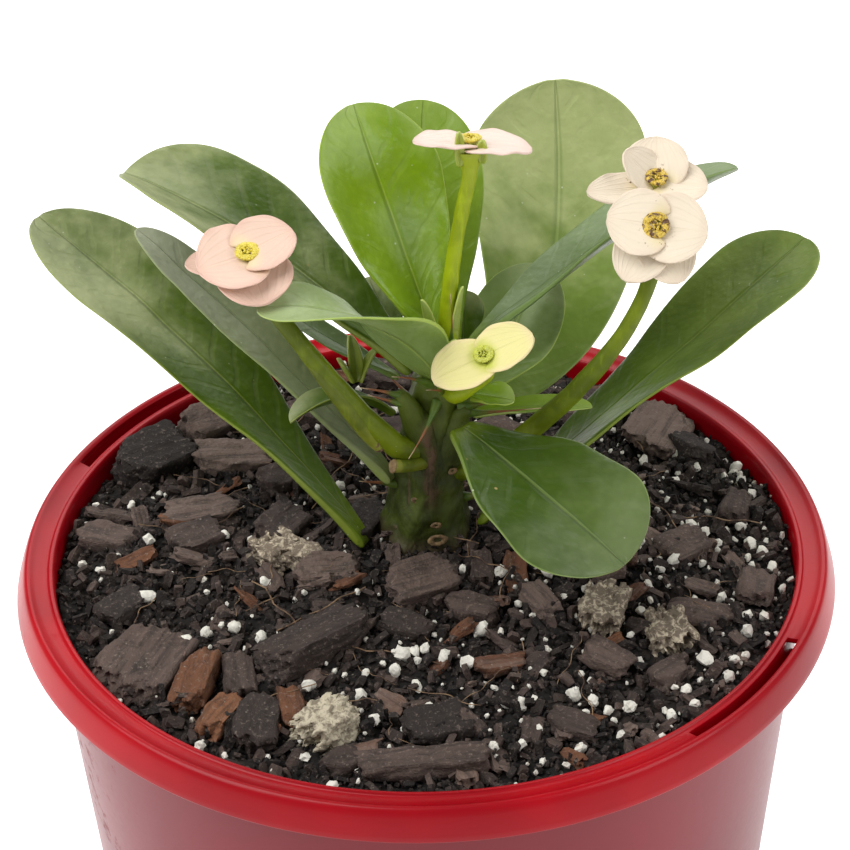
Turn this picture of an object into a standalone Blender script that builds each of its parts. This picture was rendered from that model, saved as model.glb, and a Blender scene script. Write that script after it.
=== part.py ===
"""Potted crown-of-thorns plant: a round nursery pot, its bark potting mix, a short
trunk, spoon-shaped leaves and four flower stalks with papery bracts."""
import math
import random

import bmesh
import bpy
from mathutils import Matrix, Vector

MM = 0.001

# --- pot ---------------------------------------------------------------------------
POT_HEIGHT = 124.0
POT_BASE_RADIUS = 55.0
POT_WALL_RADIUS = 66.2       # outside of the wall, just under the ledge
POT_INNER_RADIUS = 64.8      # inside edge of the ledge
POT_WALL = 1.4
POT_FLOOR = 2.4
RIM_RADIUS = 70.0            # outer shoulder of the rolled rim
SKIRT_RADIUS = 71.5          # lower edge of the skirt hanging from the rim
SKIRT_DROP = 5.8
POT_SEGMENTS = 64
SLOT_RADIUS = 67.4
SLOT_WIDTH = 2.0
SLOT_ARCS = ((-50.0, -23.5), (130.0, 156.5))
DRAIN_RADIUS = 3.0
DRAIN_CIRCLE = 42.0
DRAIN_COUNT = 8

# --- potting mix --------------------------------------------------------------------
CLEARANCE = 0.35             # gap left between neighbouring pieces
MIX_WALL_GAP = 0.7           # gap between the mix and the pot wall
MIX_RADIUS = 64.0
MIX_EDGE = 119.5             # height of the mix at the wall
MIX_MOUND = 5.5              # extra height of the mound around the trunk
MIX_SEGMENTS = 48

# --- trunk: (x, y, z, radius) -------------------------------------------------------
TRUNK = (
    (0.3, 3.2, 125.4, 8.2),
    (0.4, 3.2, 127.5, 7.6),
    (0.8, 3.2, 132.0, 6.8),
    (1.3, 3.2, 138.0, 6.0),
    (1.9, 3.3, 144.0, 5.6),
    (2.5, 3.3, 150.0, 5.2),
    (3.0, 3.4, 155.0, 4.6),
    (3.5, 3.5, 158.5, 3.6),
    (3.7, 3.5, 160.3, 1.8),
)
TRUNK_SIDES = 14
TRUNK_RIDGES = 0.07          # depth of the ridges as a share of the radius

# --- leaves -------------------------------------------------------------------------
# base: where the stalk of the leaf starts; heading: compass direction it points in
# (0 = right, 90 = back); turn: change of heading along the leaf; rise: slope at the
# base and at the tip; roll: twist at the base and at the tip; cup: how far the edges
# curl up; neck: width of the stalk and belly: place of the widest part, as shares.
LEAF_THICKNESS = 0.8
LEAF_ROWS = 12
LEAF_COLUMNS = 4
TIP_CROWDING = 1.6           # how strongly the rows of a blade crowd towards its tip
SPINE_STEPS = 48             # short straight steps that a blade's middle line is made of
YOUNG_LEAVES = ("leaf_upright_front", "leaf_twisted", "leaf_under_flower")
LEAVES = {
    "leaf_left_low": dict(
        base=(-10.3, -2.6, 126.0), heading=149, turn=-5, length=82, width=24,
        rise=(47, 21), roll=(-12, 0), cup=0.10, neck=0.16, belly=0.76, swell=1.35),
    "leaf_left_high": dict(
        base=(-1.6, 2.6, 158.4), heading=154, turn=5, length=60, width=31,
        rise=(41, 15), roll=(-5, -14), cup=0.18, neck=0.13, belly=0.80, swell=1.3),
    "leaf_left_middle": dict(
        base=(-5.5, 0.6, 137.2), heading=152, turn=-3, length=62, width=11.5,
        rise=(44, 30), roll=(-5, -2), cup=0.12, neck=0.24, belly=0.68, swell=1.2),
    "leaf_upright_front": dict(
        base=(2.6, 2.6, 161.6), heading=134, turn=-17, length=45, width=22.5,
        rise=(69, 50), roll=(-6, 2), cup=0.10, neck=0.14, belly=0.68, swell=1.35),
    "leaf_twisted": dict(
        base=(1.6, -3.0, 158.2), heading=207, turn=-24, length=38, width=20,
        rise=(66, 0), roll=(-110, 12), cup=0.10, neck=0.20, belly=0.42, swell=1.0),
    "leaf_upright_back": dict(
        base=(5.6, 8.4, 160.2), heading=114, turn=-29, length=43, width=20,
        rise=(62, 36), roll=(-3, -7), cup=0.10, neck=0.14, belly=0.68, swell=1.35),
    "leaf_back_tall": dict(
        base=(8.6, 6.2, 148.6), heading=53, turn=47, length=72, width=32,
        rise=(-10, 78), roll=(-42, 6), cup=0.08, neck=0.14, belly=0.80, swell=1.2),
    "leaf_right_narrow": dict(
        base=(8.4, 4.4, 161.4), heading=33, turn=-22, length=55.5, width=22,
        rise=(27, 23), roll=(22, 25), cup=0.12, neck=0.12, belly=0.68, swell=1.3),
    "leaf_right_inner": dict(
        base=(8.7, 4.2, 153.2), heading=52, turn=16, length=27, width=16.5,
        rise=(14, 44), roll=(-16, -6), cup=0.10, neck=0.18, belly=0.56, swell=1.1),
    "leaf_right_low": dict(
        base=(9.6, 1.6, 127.2), heading=11, turn=26, length=76, width=26,
        rise=(40, 25), roll=(28, 8), cup=0.08, neck=0.20, belly=0.84, swell=1.0),
    "leaf_front_drooping": dict(
        base=(6.0, -5.0, 151.8), heading=-44, turn=3, length=38, width=30,
        rise=(-10, -24), roll=(10, -6), cup=0.06, neck=0.16, belly=0.66, swell=1.1),
    "leaf_right_small": dict(
        base=(8.4, 1.0, 150.6), heading=14, turn=-14, length=21, width=5.4,
        rise=(0, -4), roll=(0, 0), cup=0.15, neck=0.25, belly=0.62, swell=1.2),
    "leaf_under_flower": dict(
        base=(8.4, -3.4, 157.2), heading=-18, turn=8, length=7.4, width=7,
        rise=(10, -9), roll=(0, 0), cup=0.25, neck=0.25, belly=0.60, swell=1.2),
    "leaf_back_small": dict(
        base=(7.4, 11.4, 158.0), heading=88, turn=0, length=9.5, width=7.5,
        rise=(60, 40), roll=(0, 0), cup=0.15, neck=0.2, belly=0.60, swell=1.3),
    "leaf_back_curled": dict(
        base=(-2.4, 9.4, 157.8), heading=132, turn=-28, length=16, width=6,
        rise=(46, 16), roll=(0, 3), cup=0.20, neck=0.2, belly=0.60, swell=1.3),
    "leaf_left_boat": dict(
        base=(-4.8, 1.6, 150.6), heading=186, turn=4, length=18.5, width=6.5,
        rise=(24, -48), roll=(-36, 0), cup=0.25, neck=0.2, belly=0.66, swell=1.4),
    "leaf_left_inner": dict(
        base=(-3.6, 10.6, 152.0), heading=154, turn=-4, length=27, width=5.6,
        rise=(14, 26), roll=(0, 0), cup=0.12, neck=0.2, belly=0.60, swell=1.4),
}

# --- flower stalks: start, middle guide and end point -------------------------------
STALK_SIDES = 8
STALK_STATIONS = 9
STALK_FOOT_SWELL = 1.12      # stalk radius at its foot, as a share of its own radius
STALK_TAPER = 0.24           # how much of it is lost by the time it meets the flower
STALK_END = -2.3             # height of the stalk's end under the flower face
COLLAR = ((-1.6, 0.92), (-1.1, 1.0))     # (height, share of the radius) above that
STALKS = {
    "stalk_left": dict(
        start=(-5.4, -3.2, 142.0), guide=(-15.0, -6.0, 161.0), radius=1.75, flower="left"),
    "stalk_top": dict(
        start=(5.0, 0.6, 161.0), guide=(3.4, 1.0, 174.0), radius=1.45, flower="top"),
    "stalk_right": dict(
        start=(8.9, -0.6, 140.0), guide=(40.0, -4.0, 167.0), radius=1.6,
        flower="right_front"),
    "stalk_front": dict(
        start=(5.4, -4.6, 158.6), guide=(7.4, -7.5, 160.5), radius=1.2, flower="front"),
    "stalk_right_fork": dict(
        start=(38.2, 6.4, 182.0), guide=(38.6, 8.0, 185.0), radius=1.0,
        flower="right_back"),
}

# --- flowers: centre, direction the face points in, and the bracts around it --------
# bracts: (clock angle round the face, length, width, height above the face, lift)
EYE_SIDES = 10
EYE_PROFILE = ((-0.75, 0.62), (0.2, 0.62), (1.3, 0.7), (1.9, 1.0), (2.5, 0.95), (2.7, 0.5))
BRACT_THICKNESS = 0.45
BRACT_ROWS = 6
BRACT_COLUMNS = 4
BRACT_INSET = 2.0            # distance from the flower axis to the foot of a bract
BRACT_FALL = 10              # degrees that a bract bends down between foot and tip
BRACT_SHAPE = dict(roll=(0, 0), turn=0, cup=0.05, neck=0.24, belly=0.5, swell=0.7,
                   sweep_back=1.6)
PINK_FLOWERS = ("left", "top")
FLOWERS = {
    "left": dict(
        centre=(-27.8, -2.0, 184.8), toward=-100, tilt=14, eye=1.9, bracts=(
            ("upper_right", 112, 8.8, 14.0, 1.1, 10), ("upper_left", -62, 9.4, 14.6, 0.2, 6),
            ("under_front", 40, 7.4, 9.0, -0.8, -6))),
    "top": dict(
        centre=(8.9, 6.0, 200.0), toward=90, tilt=12, eye=2.1, bracts=(
            ("right", -80, 9.8, 12.0, 0.0, 0), ("left", 94, 8.6, 10.6, 0.9, 8))),
    "right_front": dict(
        centre=(39.2, 1.0, 187.0), toward=-94, tilt=44, eye=2.7, bracts=(
            ("left", -92, 8.8, 13.2, 0.2, 6), ("right", 88, 8.6, 13.0, 1.1, 6),
            ("under_left", -31, 8.4, 7.6, -0.7, 1), ("under_right", 31, 8.0, 7.6, -1.5, 1))),
    "right_back": dict(
        centre=(39.7, 9.4, 190.4), toward=-80, tilt=20, eye=2.1, bracts=(
            ("top", 172, 8.4, 9.4, 0.9, 22), ("right", 78, 7.8, 8.6, 0.0, 8),
            ("left", -112, 6.4, 8.0, -0.8, 34))),
    "front": dict(
        centre=(10.6, -8.4, 168.0), toward=-110, tilt=22, eye=1.7, bracts=(
            ("left", -52, 8.8, 11.4, 0.2, 4), ("right", 128, 8.0, 11.6, 1.1, 14))),
}

# --- loose pieces on the mix: x, y, length, width, height, yaw, seed -----------------
CHIPS = {
    "chip_broad": (-48.2, -27.4, 16.0, 11.0, 4.2, 68, 1),
    "chip_red_long": (-38.6, -34.4, 14.0, 5.4, 4.0, 80, 2),
    "chip_red_short": (-33.6, -43.0, 8.8, 5.0, 3.4, 60, 3),
    "chip_strip": (-1.9, -56.0, 25.0, 5.0, 3.2, 4, 4),
    "chip_ridge": (-19.2, -27.4, 17.0, 8.4, 4.6, 32, 5),
    "chip_speckled": (-0.6, -13.6, 10.5, 8.4, 3.4, 24, 6),
    "chip_wedge": (-17.4, -9.4, 9.4, 7.6, 3.2, 12, 7),
    "chip_left_flat": (-34.6, 31.4, 14.0, 6.6, 2.8, 4, 8),
    "chip_left_side": (-39.4, 13.4, 11.6, 5.4, 2.8, 16, 9),
    "chip_right_flat": (43.2, 37.4, 12.6, 9.6, 3.0, 66, 10),
    "chip_grey": (1.2, -46.4, 9.4, 7.0, 3.4, 20, 11),
    "pumice_lump": (-16.6, -48.0, 8.6, 7.6, 5.4, 40, 12),
}
CHIP_STATIONS = (-1, -0.35, 0.35, 1)     # places of its corners along a piece
CHIP_END_DRAW = 0.34         # how far the ends of a piece may be drawn in
CHIP_SIDE_DRAW = 0.25        # the same for its long sides
CHIP_TOP_DRAW = 0.35         # the same for its top and underside
SLOPE_REACH = 3.0            # distance over which the slope of the mix is taken

# --- finishes: colour and roughness ---------------------------------------------------
RED_PLASTIC = ((0.42, 0.004, 0.02), 0.3)
GREEN_LEAF = ((0.10, 0.20, 0.035), 0.42)
YOUNG_LEAF = ((0.22, 0.38, 0.02), 0.42)
GREEN_TRUNK = ((0.045, 0.08, 0.015), 0.6)
GREEN_STALK = ((0.22, 0.30, 0.02), 0.5)
CREAM_BRACT = ((0.83, 0.76, 0.58), 0.55)
PINK_BRACT = ((0.86, 0.66, 0.56), 0.55)
YELLOW_EYE = ((0.72, 0.55, 0.04), 0.45)
BLACK_MIX = ((0.022, 0.018, 0.015), 0.95)
BROWN_BARK = ((0.12, 0.075, 0.05), 0.9)
GREY_PUMICE = ((0.42, 0.37, 0.31), 0.9)


def material(name, finish):
    """One plain Principled material, owned by one object."""
    colour, roughness = finish
    mat = bpy.data.materials.new(name + "_surface")
    mat.use_nodes = True
    shader = mat.node_tree.nodes["Principled BSDF"]
    shader.inputs["Base Color"].default_value = (*colour, 1.0)
    shader.inputs["Roughness"].default_value = roughness
    shader.inputs["Metallic"].default_value = 0.0
    mat.diffuse_color = (*colour, 1.0)
    return mat


def add_object(name, bm, finish, smooth=True):
    """Turn a bmesh measured in millimetres into a named, shaded object."""
    bmesh.ops.scale(bm, vec=(MM, MM, MM), verts=bm.verts)
    bmesh.ops.remove_doubles(bm, verts=bm.verts, dist=0.00002)
    bmesh.ops.recalc_face_normals(bm, faces=bm.faces)
    for face in bm.faces:
        face.smooth = smooth
    mesh = bpy.data.meshes.new(name)
    bm.to_mesh(mesh)
    bm.free()
    obj = bpy.data.objects.new(name, mesh)
    bpy.context.collection.objects.link(obj)
    mesh.materials.append(material(name, finish))
    return obj


def lathe(profile, segments):
    """Spin an (r, z) outline that starts and ends on the Z axis once around it."""
    bm = bmesh.new()
    verts = [bm.verts.new((r, 0.0, z)) for r, z in profile]
    edges = [bm.edges.new(pair) for pair in zip(verts, verts[1:])]
    bmesh.ops.spin(bm, geom=verts + edges, cent=(0, 0, 0), axis=(0, 0, 1),
                   angle=2 * math.pi, steps=segments, use_merge=True)
    bmesh.ops.remove_doubles(bm, verts=bm.verts, dist=0.001)
    return bm


def cut(obj, bm):
    """Subtract a closed tool body from an object."""
    tool_mesh = bpy.data.meshes.new(obj.name + "_cutter")
    bmesh.ops.scale(bm, vec=(MM, MM, MM), verts=bm.verts)
    bmesh.ops.recalc_face_normals(bm, faces=bm.faces)
    bm.to_mesh(tool_mesh)
    bm.free()
    tool = bpy.data.objects.new(obj.name + "_cutter", tool_mesh)
    bpy.context.collection.objects.link(tool)
    tool.hide_render = True
    tool.display_type = "WIRE"
    modifier = obj.modifiers.new("Openings", "BOOLEAN")
    modifier.operation = "DIFFERENCE"
    modifier.solver = "EXACT"
    modifier.object = tool


# --- pot and mix --------------------------------------------------------------------
def wall_radius(z):
    """Outside radius of the tapering pot wall at height z."""
    return POT_BASE_RADIUS + (POT_WALL_RADIUS - POT_BASE_RADIUS) * z / POT_HEIGHT


def pot_profile():
    top = POT_HEIGHT
    ledge = POT_INNER_RADIUS
    inner_floor = wall_radius(POT_FLOOR) - POT_WALL
    return [
        (0.0, POT_FLOOR), (inner_floor - 1.5, POT_FLOOR), (inner_floor, POT_FLOOR + 1.5),
        (ledge - 0.3, top - 8.0), (ledge, top - 1.1), (ledge + 0.5, top - 0.4),
        (ledge + 1.6, top - 0.15), (RIM_RADIUS - 1.6, top), (RIM_RADIUS - 0.9, top - 0.2),
        (RIM_RADIUS, top - 1.0), (RIM_RADIUS + 0.7, top - 2.9),
        (SKIRT_RADIUS, top - SKIRT_DROP), (SKIRT_RADIUS - 1.2, top - SKIRT_DROP),
        (RIM_RADIUS - 0.8, top - 2.2), (RIM_RADIUS - 1.6, top - 1.5),
        (POT_WALL_RADIUS + 0.3, top - 1.6), (wall_radius(top - 5.0), top - 5.0),
        (wall_radius(1.2), 1.2), (POT_BASE_RADIUS - 1.1, 0.0), (0.0, 0.0),
    ]


def arc_prism(bm, start, end, inner, outer, bottom, top, steps=10):
    """Closed ring segment between two angles, used to cut the ledge slots."""
    rings = []
    for step in range(steps + 1):
        angle = math.radians(start + (end - start) * step / steps)
        ray = Vector((math.cos(angle), math.sin(angle), 0.0))
        corners = ((inner, bottom), (outer, bottom), (outer, top), (inner, top))
        rings.append([bm.verts.new(ray * r + Vector((0, 0, z))) for r, z in corners])
    for near, far in zip(rings, rings[1:]):
        for k in range(4):
            bm.faces.new((near[k], near[(k + 1) % 4], far[(k + 1) % 4], far[k]))
    bm.faces.new(rings[0])
    bm.faces.new(rings[-1])


def build_pot():
    pot = add_object("pot", lathe(pot_profile(), POT_SEGMENTS), RED_PLASTIC)
    cutter = bmesh.new()
    half = SLOT_WIDTH / 2
    for start, end in SLOT_ARCS:
        arc_prism(cutter, start, end, SLOT_RADIUS - half, SLOT_RADIUS + half,
                  POT_HEIGHT - 3.4, POT_HEIGHT + 2.0)
    for k in range(DRAIN_COUNT):
        angle = 2 * math.pi * (k + 0.5) / DRAIN_COUNT
        spot = (DRAIN_CIRCLE * math.cos(angle), DRAIN_CIRCLE * math.sin(angle), POT_FLOOR / 2)
        bmesh.ops.create_cone(cutter, cap_ends=True, segments=12, radius1=DRAIN_RADIUS,
                              radius2=DRAIN_RADIUS, depth=POT_FLOOR + 2.0,
                              matrix=Matrix.Translation(spot))
    cut(pot, cutter)


def mix_height(radius):
    """Height of the mounded mix surface at a distance from the pot axis."""
    share = min(radius / MIX_RADIUS, 1.0)
    return MIX_EDGE + MIX_MOUND * (1 + math.cos(math.pi * share)) / 2


def mix_wall(z):
    """Radius of the mix where it lies against the pot wall at height z."""
    return wall_radius(z) - POT_WALL - MIX_WALL_GAP


def build_mix():
    bottom = POT_FLOOR + CLEARANCE
    bevel = 3.0
    profile = [(0.0, mix_height(0.0))]
    profile += [(r, mix_height(r)) for r in (9, 18, 27, 36, 45, 54, 60)]
    profile += [(mix_wall(MIX_EDGE), MIX_EDGE - 0.2), (mix_wall(bottom + bevel), bottom + bevel),
                (mix_wall(bottom) - bevel, bottom), (0.0, bottom)]
    add_object("potting_mix", lathe(profile, MIX_SEGMENTS), BLACK_MIX)


# --- round tubes: trunk, flower stalks, flower eyes ---------------------------------
def tube(path, radii, sides, ridges=0.0):
    """Closed tube through a list of points, one ring of vertices per point."""
    bm = bmesh.new()
    rings = []
    for index, (point, radius) in enumerate(zip(path, radii)):
        ahead = path[min(index + 1, len(path) - 1)]
        behind = path[max(index - 1, 0)]
        frame = (ahead - behind).to_track_quat("Z", "Y").to_matrix().to_4x4()
        frame.translation = point
        made = bmesh.ops.create_circle(bm, radius=radius, segments=sides, matrix=frame)
        ring = made["verts"]
        for number, vert in enumerate(ring):
            push = 1.0 + ridges * math.cos(number * math.pi) * math.sin(2.3 * index + number)
            vert.co = point + (vert.co - point) * push
        rings.append(ring)
    for near, far in zip(rings, rings[1:]):
        for k in range(sides):
            bm.faces.new((near[k], near[(k + 1) % sides], far[(k + 1) % sides], far[k]))
    bm.faces.new(rings[0])
    bm.faces.new(rings[-1])
    return bm


def build_trunk():
    path = [Vector(station[:3]) for station in TRUNK]
    radii = [station[3] for station in TRUNK]
    add_object("trunk", tube(path, radii, TRUNK_SIDES, TRUNK_RIDGES), GREEN_TRUNK)


def face_frame(flower):
    """Matrix whose Z axis looks out of the flower and whose X axis is its low side."""
    return (Matrix.Translation(Vector(flower["centre"]))
            @ Matrix.Rotation(math.radians(flower["toward"]), 4, "Z")
            @ Matrix.Rotation(math.radians(flower["tilt"]), 4, "Y"))


def build_stalk(name, start, guide, radius, flower):
    frame = face_frame(FLOWERS[flower])
    start, guide = Vector(start), Vector(guide)
    end = frame @ Vector((0, 0, STALK_END))
    path, radii = [], []
    for step in range(STALK_STATIONS):
        t = step / (STALK_STATIONS - 1)
        path.append(start * (1 - t) ** 2 + guide * 2 * t * (1 - t) + end * t ** 2)
        radii.append(radius * (STALK_FOOT_SWELL - STALK_TAPER * t))
    for height, share in COLLAR:
        path.append(frame @ Vector((0, 0, height)))
        radii.append(radius * share)
    add_object(name, tube(path, radii, STALK_SIDES), GREEN_STALK)


def build_eye(name, flower):
    """The small yellow cup of glands in the middle of a flower."""
    path = [Vector((0, 0, height)) for height, _ in EYE_PROFILE]
    radii = [flower["eye"] * share for _, share in EYE_PROFILE]
    eye = add_object(name, tube(path, radii, EYE_SIDES), YELLOW_EYE)
    eye.matrix_world = scaled_frame(face_frame(flower))


def scaled_frame(frame):
    """The same placing with its position given in metres."""
    placed = frame.copy()
    placed.translation = frame.translation * MM
    return placed


# --- blades: leaves and bracts ------------------------------------------------------
def half_width(t, width, neck, belly, swell):
    """Half the blade width at t = 0 (foot) .. 1 (tip)."""
    if t < belly:
        return width / 2 * (neck + (1 - neck) * math.sin(math.pi / 2 * t / belly) ** swell)
    return width / 2 * math.sqrt(max(0.0, 1 - ((t - belly) / (1 - belly)) ** 2))


def blade(length, width, rise, roll, turn, cup, neck, belly, swell, rows, columns,
          foot=0.0, sweep_back=0.0):
    """Thin surface that starts at the origin, runs along +X and faces +Z."""
    bm = bmesh.new()
    bmesh.ops.create_grid(bm, x_segments=rows, y_segments=columns, size=0.5)
    bm.verts.ensure_lookup_table()
    spine = spine_points(length, rise, turn)
    for vert in bm.verts:
        t = 1 - (1 - (vert.co.x + 0.5)) ** TIP_CROWDING
        across = vert.co.y * 2
        point, forward = spine_at(spine, t)
        heading = math.atan2(forward.y, forward.x)
        side = Vector((-math.sin(heading), math.cos(heading), 0.0))
        up = forward.cross(side)
        twist = math.radians(roll[0] + (roll[1] - roll[0]) * t)
        edge = side * math.cos(twist) - up * math.sin(twist)
        lift = side * math.sin(twist) + up * math.cos(twist)
        reach = half_width(t, width, neck, belly, swell)
        back = sweep_back * across ** 2 * reach * 2 / width
        vert.co = (point + Vector((foot, 0, 0)) + edge * across * reach
                   + lift * cup * across ** 2 * reach - forward * back)
    bmesh.ops.remove_doubles(bm, verts=bm.verts, dist=0.01)
    return bm


def spine_points(length, rise, turn):
    """Positions and directions along the middle line of a blade."""
    point = Vector((0, 0, 0))
    line = []
    for step in range(SPINE_STEPS + 1):
        t = step / SPINE_STEPS
        slope = math.radians(rise[0] + (rise[1] - rise[0]) * t)
        heading = math.radians(turn * t)
        forward = Vector((math.cos(slope) * math.cos(heading),
                          math.cos(slope) * math.sin(heading), math.sin(slope)))
        line.append((point.copy(), forward))
        point += forward * (length / SPINE_STEPS)
    return line


def spine_at(line, t):
    place = t * (len(line) - 1)
    low = min(int(place), len(line) - 2)
    share = place - low
    point = line[low][0].lerp(line[low + 1][0], share)
    return point, line[low][1].lerp(line[low + 1][1], share).normalized()


def thicken(obj, thickness):
    modifier = obj.modifiers.new("Thickness", "SOLIDIFY")
    modifier.thickness = thickness * MM
    modifier.offset = 0.0


def build_leaf(name, base, heading, **shape):
    bm = blade(rows=LEAF_ROWS, columns=LEAF_COLUMNS, **shape)
    leaf = add_object(name, bm, YOUNG_LEAF if name in YOUNG_LEAVES else GREEN_LEAF)
    leaf.location = Vector(base) * MM
    leaf.rotation_euler = (0, 0, math.radians(heading))
    thicken(leaf, LEAF_THICKNESS)


def build_bract(name, flower, clock, length, width, height, lift, finish):
    bm = blade(length=length, width=width, rise=(lift, lift - BRACT_FALL), rows=BRACT_ROWS,
               columns=BRACT_COLUMNS, foot=BRACT_INSET, **BRACT_SHAPE)
    bract = add_object(name, bm, finish)
    frame = scaled_frame(face_frame(flower))
    bract.matrix_world = (frame @ Matrix.Rotation(math.radians(clock), 4, "Z")
                          @ Matrix.Translation((0, 0, height * MM)))
    thicken(bract, BRACT_THICKNESS)


def build_flower(name, flower):
    build_eye("eye_" + name, flower)
    finish = PINK_BRACT if name in PINK_FLOWERS else CREAM_BRACT
    for label, clock, length, width, height, lift in flower["bracts"]:
        build_bract("bract_%s_%s" % (name, label), flower, clock, length, width,
                    height, lift, finish)


# --- loose pieces on the mix ---------------------------------------------------------
def chip_hull(length, width, height, seed):
    """A broken slab: the hull of a few jittered corner points around the origin."""
    rng = random.Random(seed)
    bm = bmesh.new()
    for sx in CHIP_STATIONS:
        for sy in (-1, 1):
            for sz in (-1, 1):
                end = 1 - CHIP_END_DRAW * abs(sx) * rng.random()
                side = end - CHIP_SIDE_DRAW * abs(sx) * rng.random()
                top = 1 - CHIP_TOP_DRAW * rng.random()
                bm.verts.new((sx * length / 2 * end, sy * width / 2 * side,
                              sz * height / 2 * top))
    hull = bmesh.ops.convex_hull(bm, input=bm.verts)
    bmesh.ops.delete(bm, geom=hull["geom_interior"], context="VERTS")
    return bm


def mix_normal(x, y):
    """Direction square to the mix surface at a place on it."""
    radius = math.hypot(x, y)
    slope = (mix_height(radius + SLOPE_REACH)
             - mix_height(radius - SLOPE_REACH)) / (2 * SLOPE_REACH)
    return (Vector((0, 0, 1)) - Vector((x, y, 0)).normalized() * slope).normalized()


def build_chip(name, x, y, length, width, height, yaw, seed):
    """Lay a broken slab on the mix, just clear of it."""
    bm = chip_hull(length, width, height, seed)
    frame = (mix_normal(x, y).to_track_quat("Z", "Y").to_matrix().to_4x4()
             @ Matrix.Rotation(math.radians(yaw - 180), 4, "Z"))
    frame.translation = (x, y, 0)
    bmesh.ops.transform(bm, matrix=frame, verts=bm.verts)
    lowest = min(v.co.z - mix_height(math.hypot(v.co.x, v.co.y)) for v in bm.verts)
    for vert in bm.verts:
        vert.co.z += CLEARANCE - lowest
    stone = name.startswith("pumice")
    add_object(name, bm, GREY_PUMICE if stone else BROWN_BARK, smooth=False)


def clear_scene():
    for obj in list(bpy.data.objects):
        bpy.data.objects.remove(obj, do_unlink=True)


def main():
    clear_scene()
    build_pot()
    build_mix()
    build_trunk()
    for name, shape in LEAVES.items():
        build_leaf(name, **shape)
    for name, shape in STALKS.items():
        build_stalk(name, **shape)
    for name, flower in FLOWERS.items():
        build_flower(name, flower)
    for name, size in CHIPS.items():
        build_chip(name, *size)


main()
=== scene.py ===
import math
import random

import bmesh
import bpy
from mathutils import Matrix, Vector


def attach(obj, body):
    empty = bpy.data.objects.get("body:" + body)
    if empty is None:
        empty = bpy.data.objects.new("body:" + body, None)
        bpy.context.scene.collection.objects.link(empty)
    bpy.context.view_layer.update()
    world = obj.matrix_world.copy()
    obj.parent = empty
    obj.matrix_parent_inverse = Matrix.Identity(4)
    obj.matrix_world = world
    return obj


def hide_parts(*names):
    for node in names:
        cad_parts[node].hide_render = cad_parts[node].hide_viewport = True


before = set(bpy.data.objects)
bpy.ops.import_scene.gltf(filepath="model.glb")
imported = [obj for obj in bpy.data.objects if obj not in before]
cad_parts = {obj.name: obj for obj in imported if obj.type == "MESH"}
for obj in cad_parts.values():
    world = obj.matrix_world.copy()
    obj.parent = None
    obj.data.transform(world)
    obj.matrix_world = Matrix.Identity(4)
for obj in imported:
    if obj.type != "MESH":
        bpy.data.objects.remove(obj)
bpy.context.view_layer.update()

mm = 0.001

# small helpers used by every piece


def clearPicks():
    if bpy.context.mode != "OBJECT":
        bpy.ops.object.mode_set(mode="OBJECT")
    bpy.ops.object.select_all(action="DESELECT")


def named(name):  # names the primitive that was just added
    piece = bpy.context.object
    piece.name = name
    piece.data.name = name
    return piece


def openEdit(piece):
    clearPicks()
    bpy.context.view_layer.objects.active = piece
    piece.select_set(True)
    bpy.ops.object.mode_set(mode="EDIT")
    bpy.ops.mesh.select_mode(type="VERT")


def closeEdit():
    bpy.ops.object.mode_set(mode="OBJECT")


def pick(piece, numbers):  # picks vertices by number, in edit mode
    form = bmesh.from_edit_mesh(piece.data)
    form.verts.ensure_lookup_table()
    for vert in form.verts:
        vert.select = False
    for number in numbers:
        form.verts[number].select = True
    form.select_flush(True)
    bmesh.update_edit_mesh(piece.data, loop_triangles=False, destructive=False)


def pickFaces(piece, test):  # picks faces by their middle and normal, in edit mode
    bpy.ops.mesh.select_mode(type="FACE")
    form = bmesh.from_edit_mesh(piece.data)
    for face in form.faces:
        face.select = False
    for face in form.faces:
        if test(face.calc_center_median(), face.normal):
            face.select_set(True)
    form.select_flush(True)
    bmesh.update_edit_mesh(piece.data)


def shift(x, y, z):
    bpy.ops.transform.translate(value=(x, y, z))


def grow(x, y, z, centre=(0, 0, 0)):
    bpy.ops.transform.resize(value=(x, y, z), center_override=centre)


def turn(degrees, axis, centre=(0, 0, 0)):  # with no window the tool turns the other way
    bpy.ops.transform.rotate(value=-math.radians(degrees), orient_axis=axis, center_override=centre)


def finishWith(piece, kind, **settings):
    modifier = piece.modifiers.new(kind.title(), kind)
    for key, value in settings.items():
        setattr(modifier, key, value)
    bpy.context.view_layer.objects.active = piece
    bpy.ops.object.modifier_apply(modifier=modifier.name)


def cloudTexture(name, size, kind="CLOUDS"):
    texture = bpy.data.textures.new(name, kind)
    texture.noise_scale = size
    return texture


def wobble(piece, name, size, strength, kind="CLOUDS"):
    finishWith(piece, "DISPLACE", texture=cloudTexture(name, size, kind), strength=strength,
               mid_level=0.5, texture_coords="LOCAL")


def settle(piece, finishes, standsFor=(), angle=50):
    clearPicks()
    piece.select_set(True)
    bpy.context.view_layer.objects.active = piece
    bpy.ops.object.transform_apply(location=True, rotation=True, scale=True)
    if angle:
        bpy.ops.object.shade_smooth_by_angle(angle=math.radians(angle))
    else:
        bpy.ops.object.shade_flat()
    if finishes:
        piece.data.materials.clear()
        for finish in finishes:
            piece.data.materials.append(finish)
    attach(piece, "root")
    if standsFor:
        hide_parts(*standsFor)
    return piece


def joinAll(name, pieces):
    clearPicks()
    for piece in pieces:
        piece.select_set(True)
    bpy.context.view_layer.objects.active = pieces[0]
    bpy.ops.object.join()
    return named(name)


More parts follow.
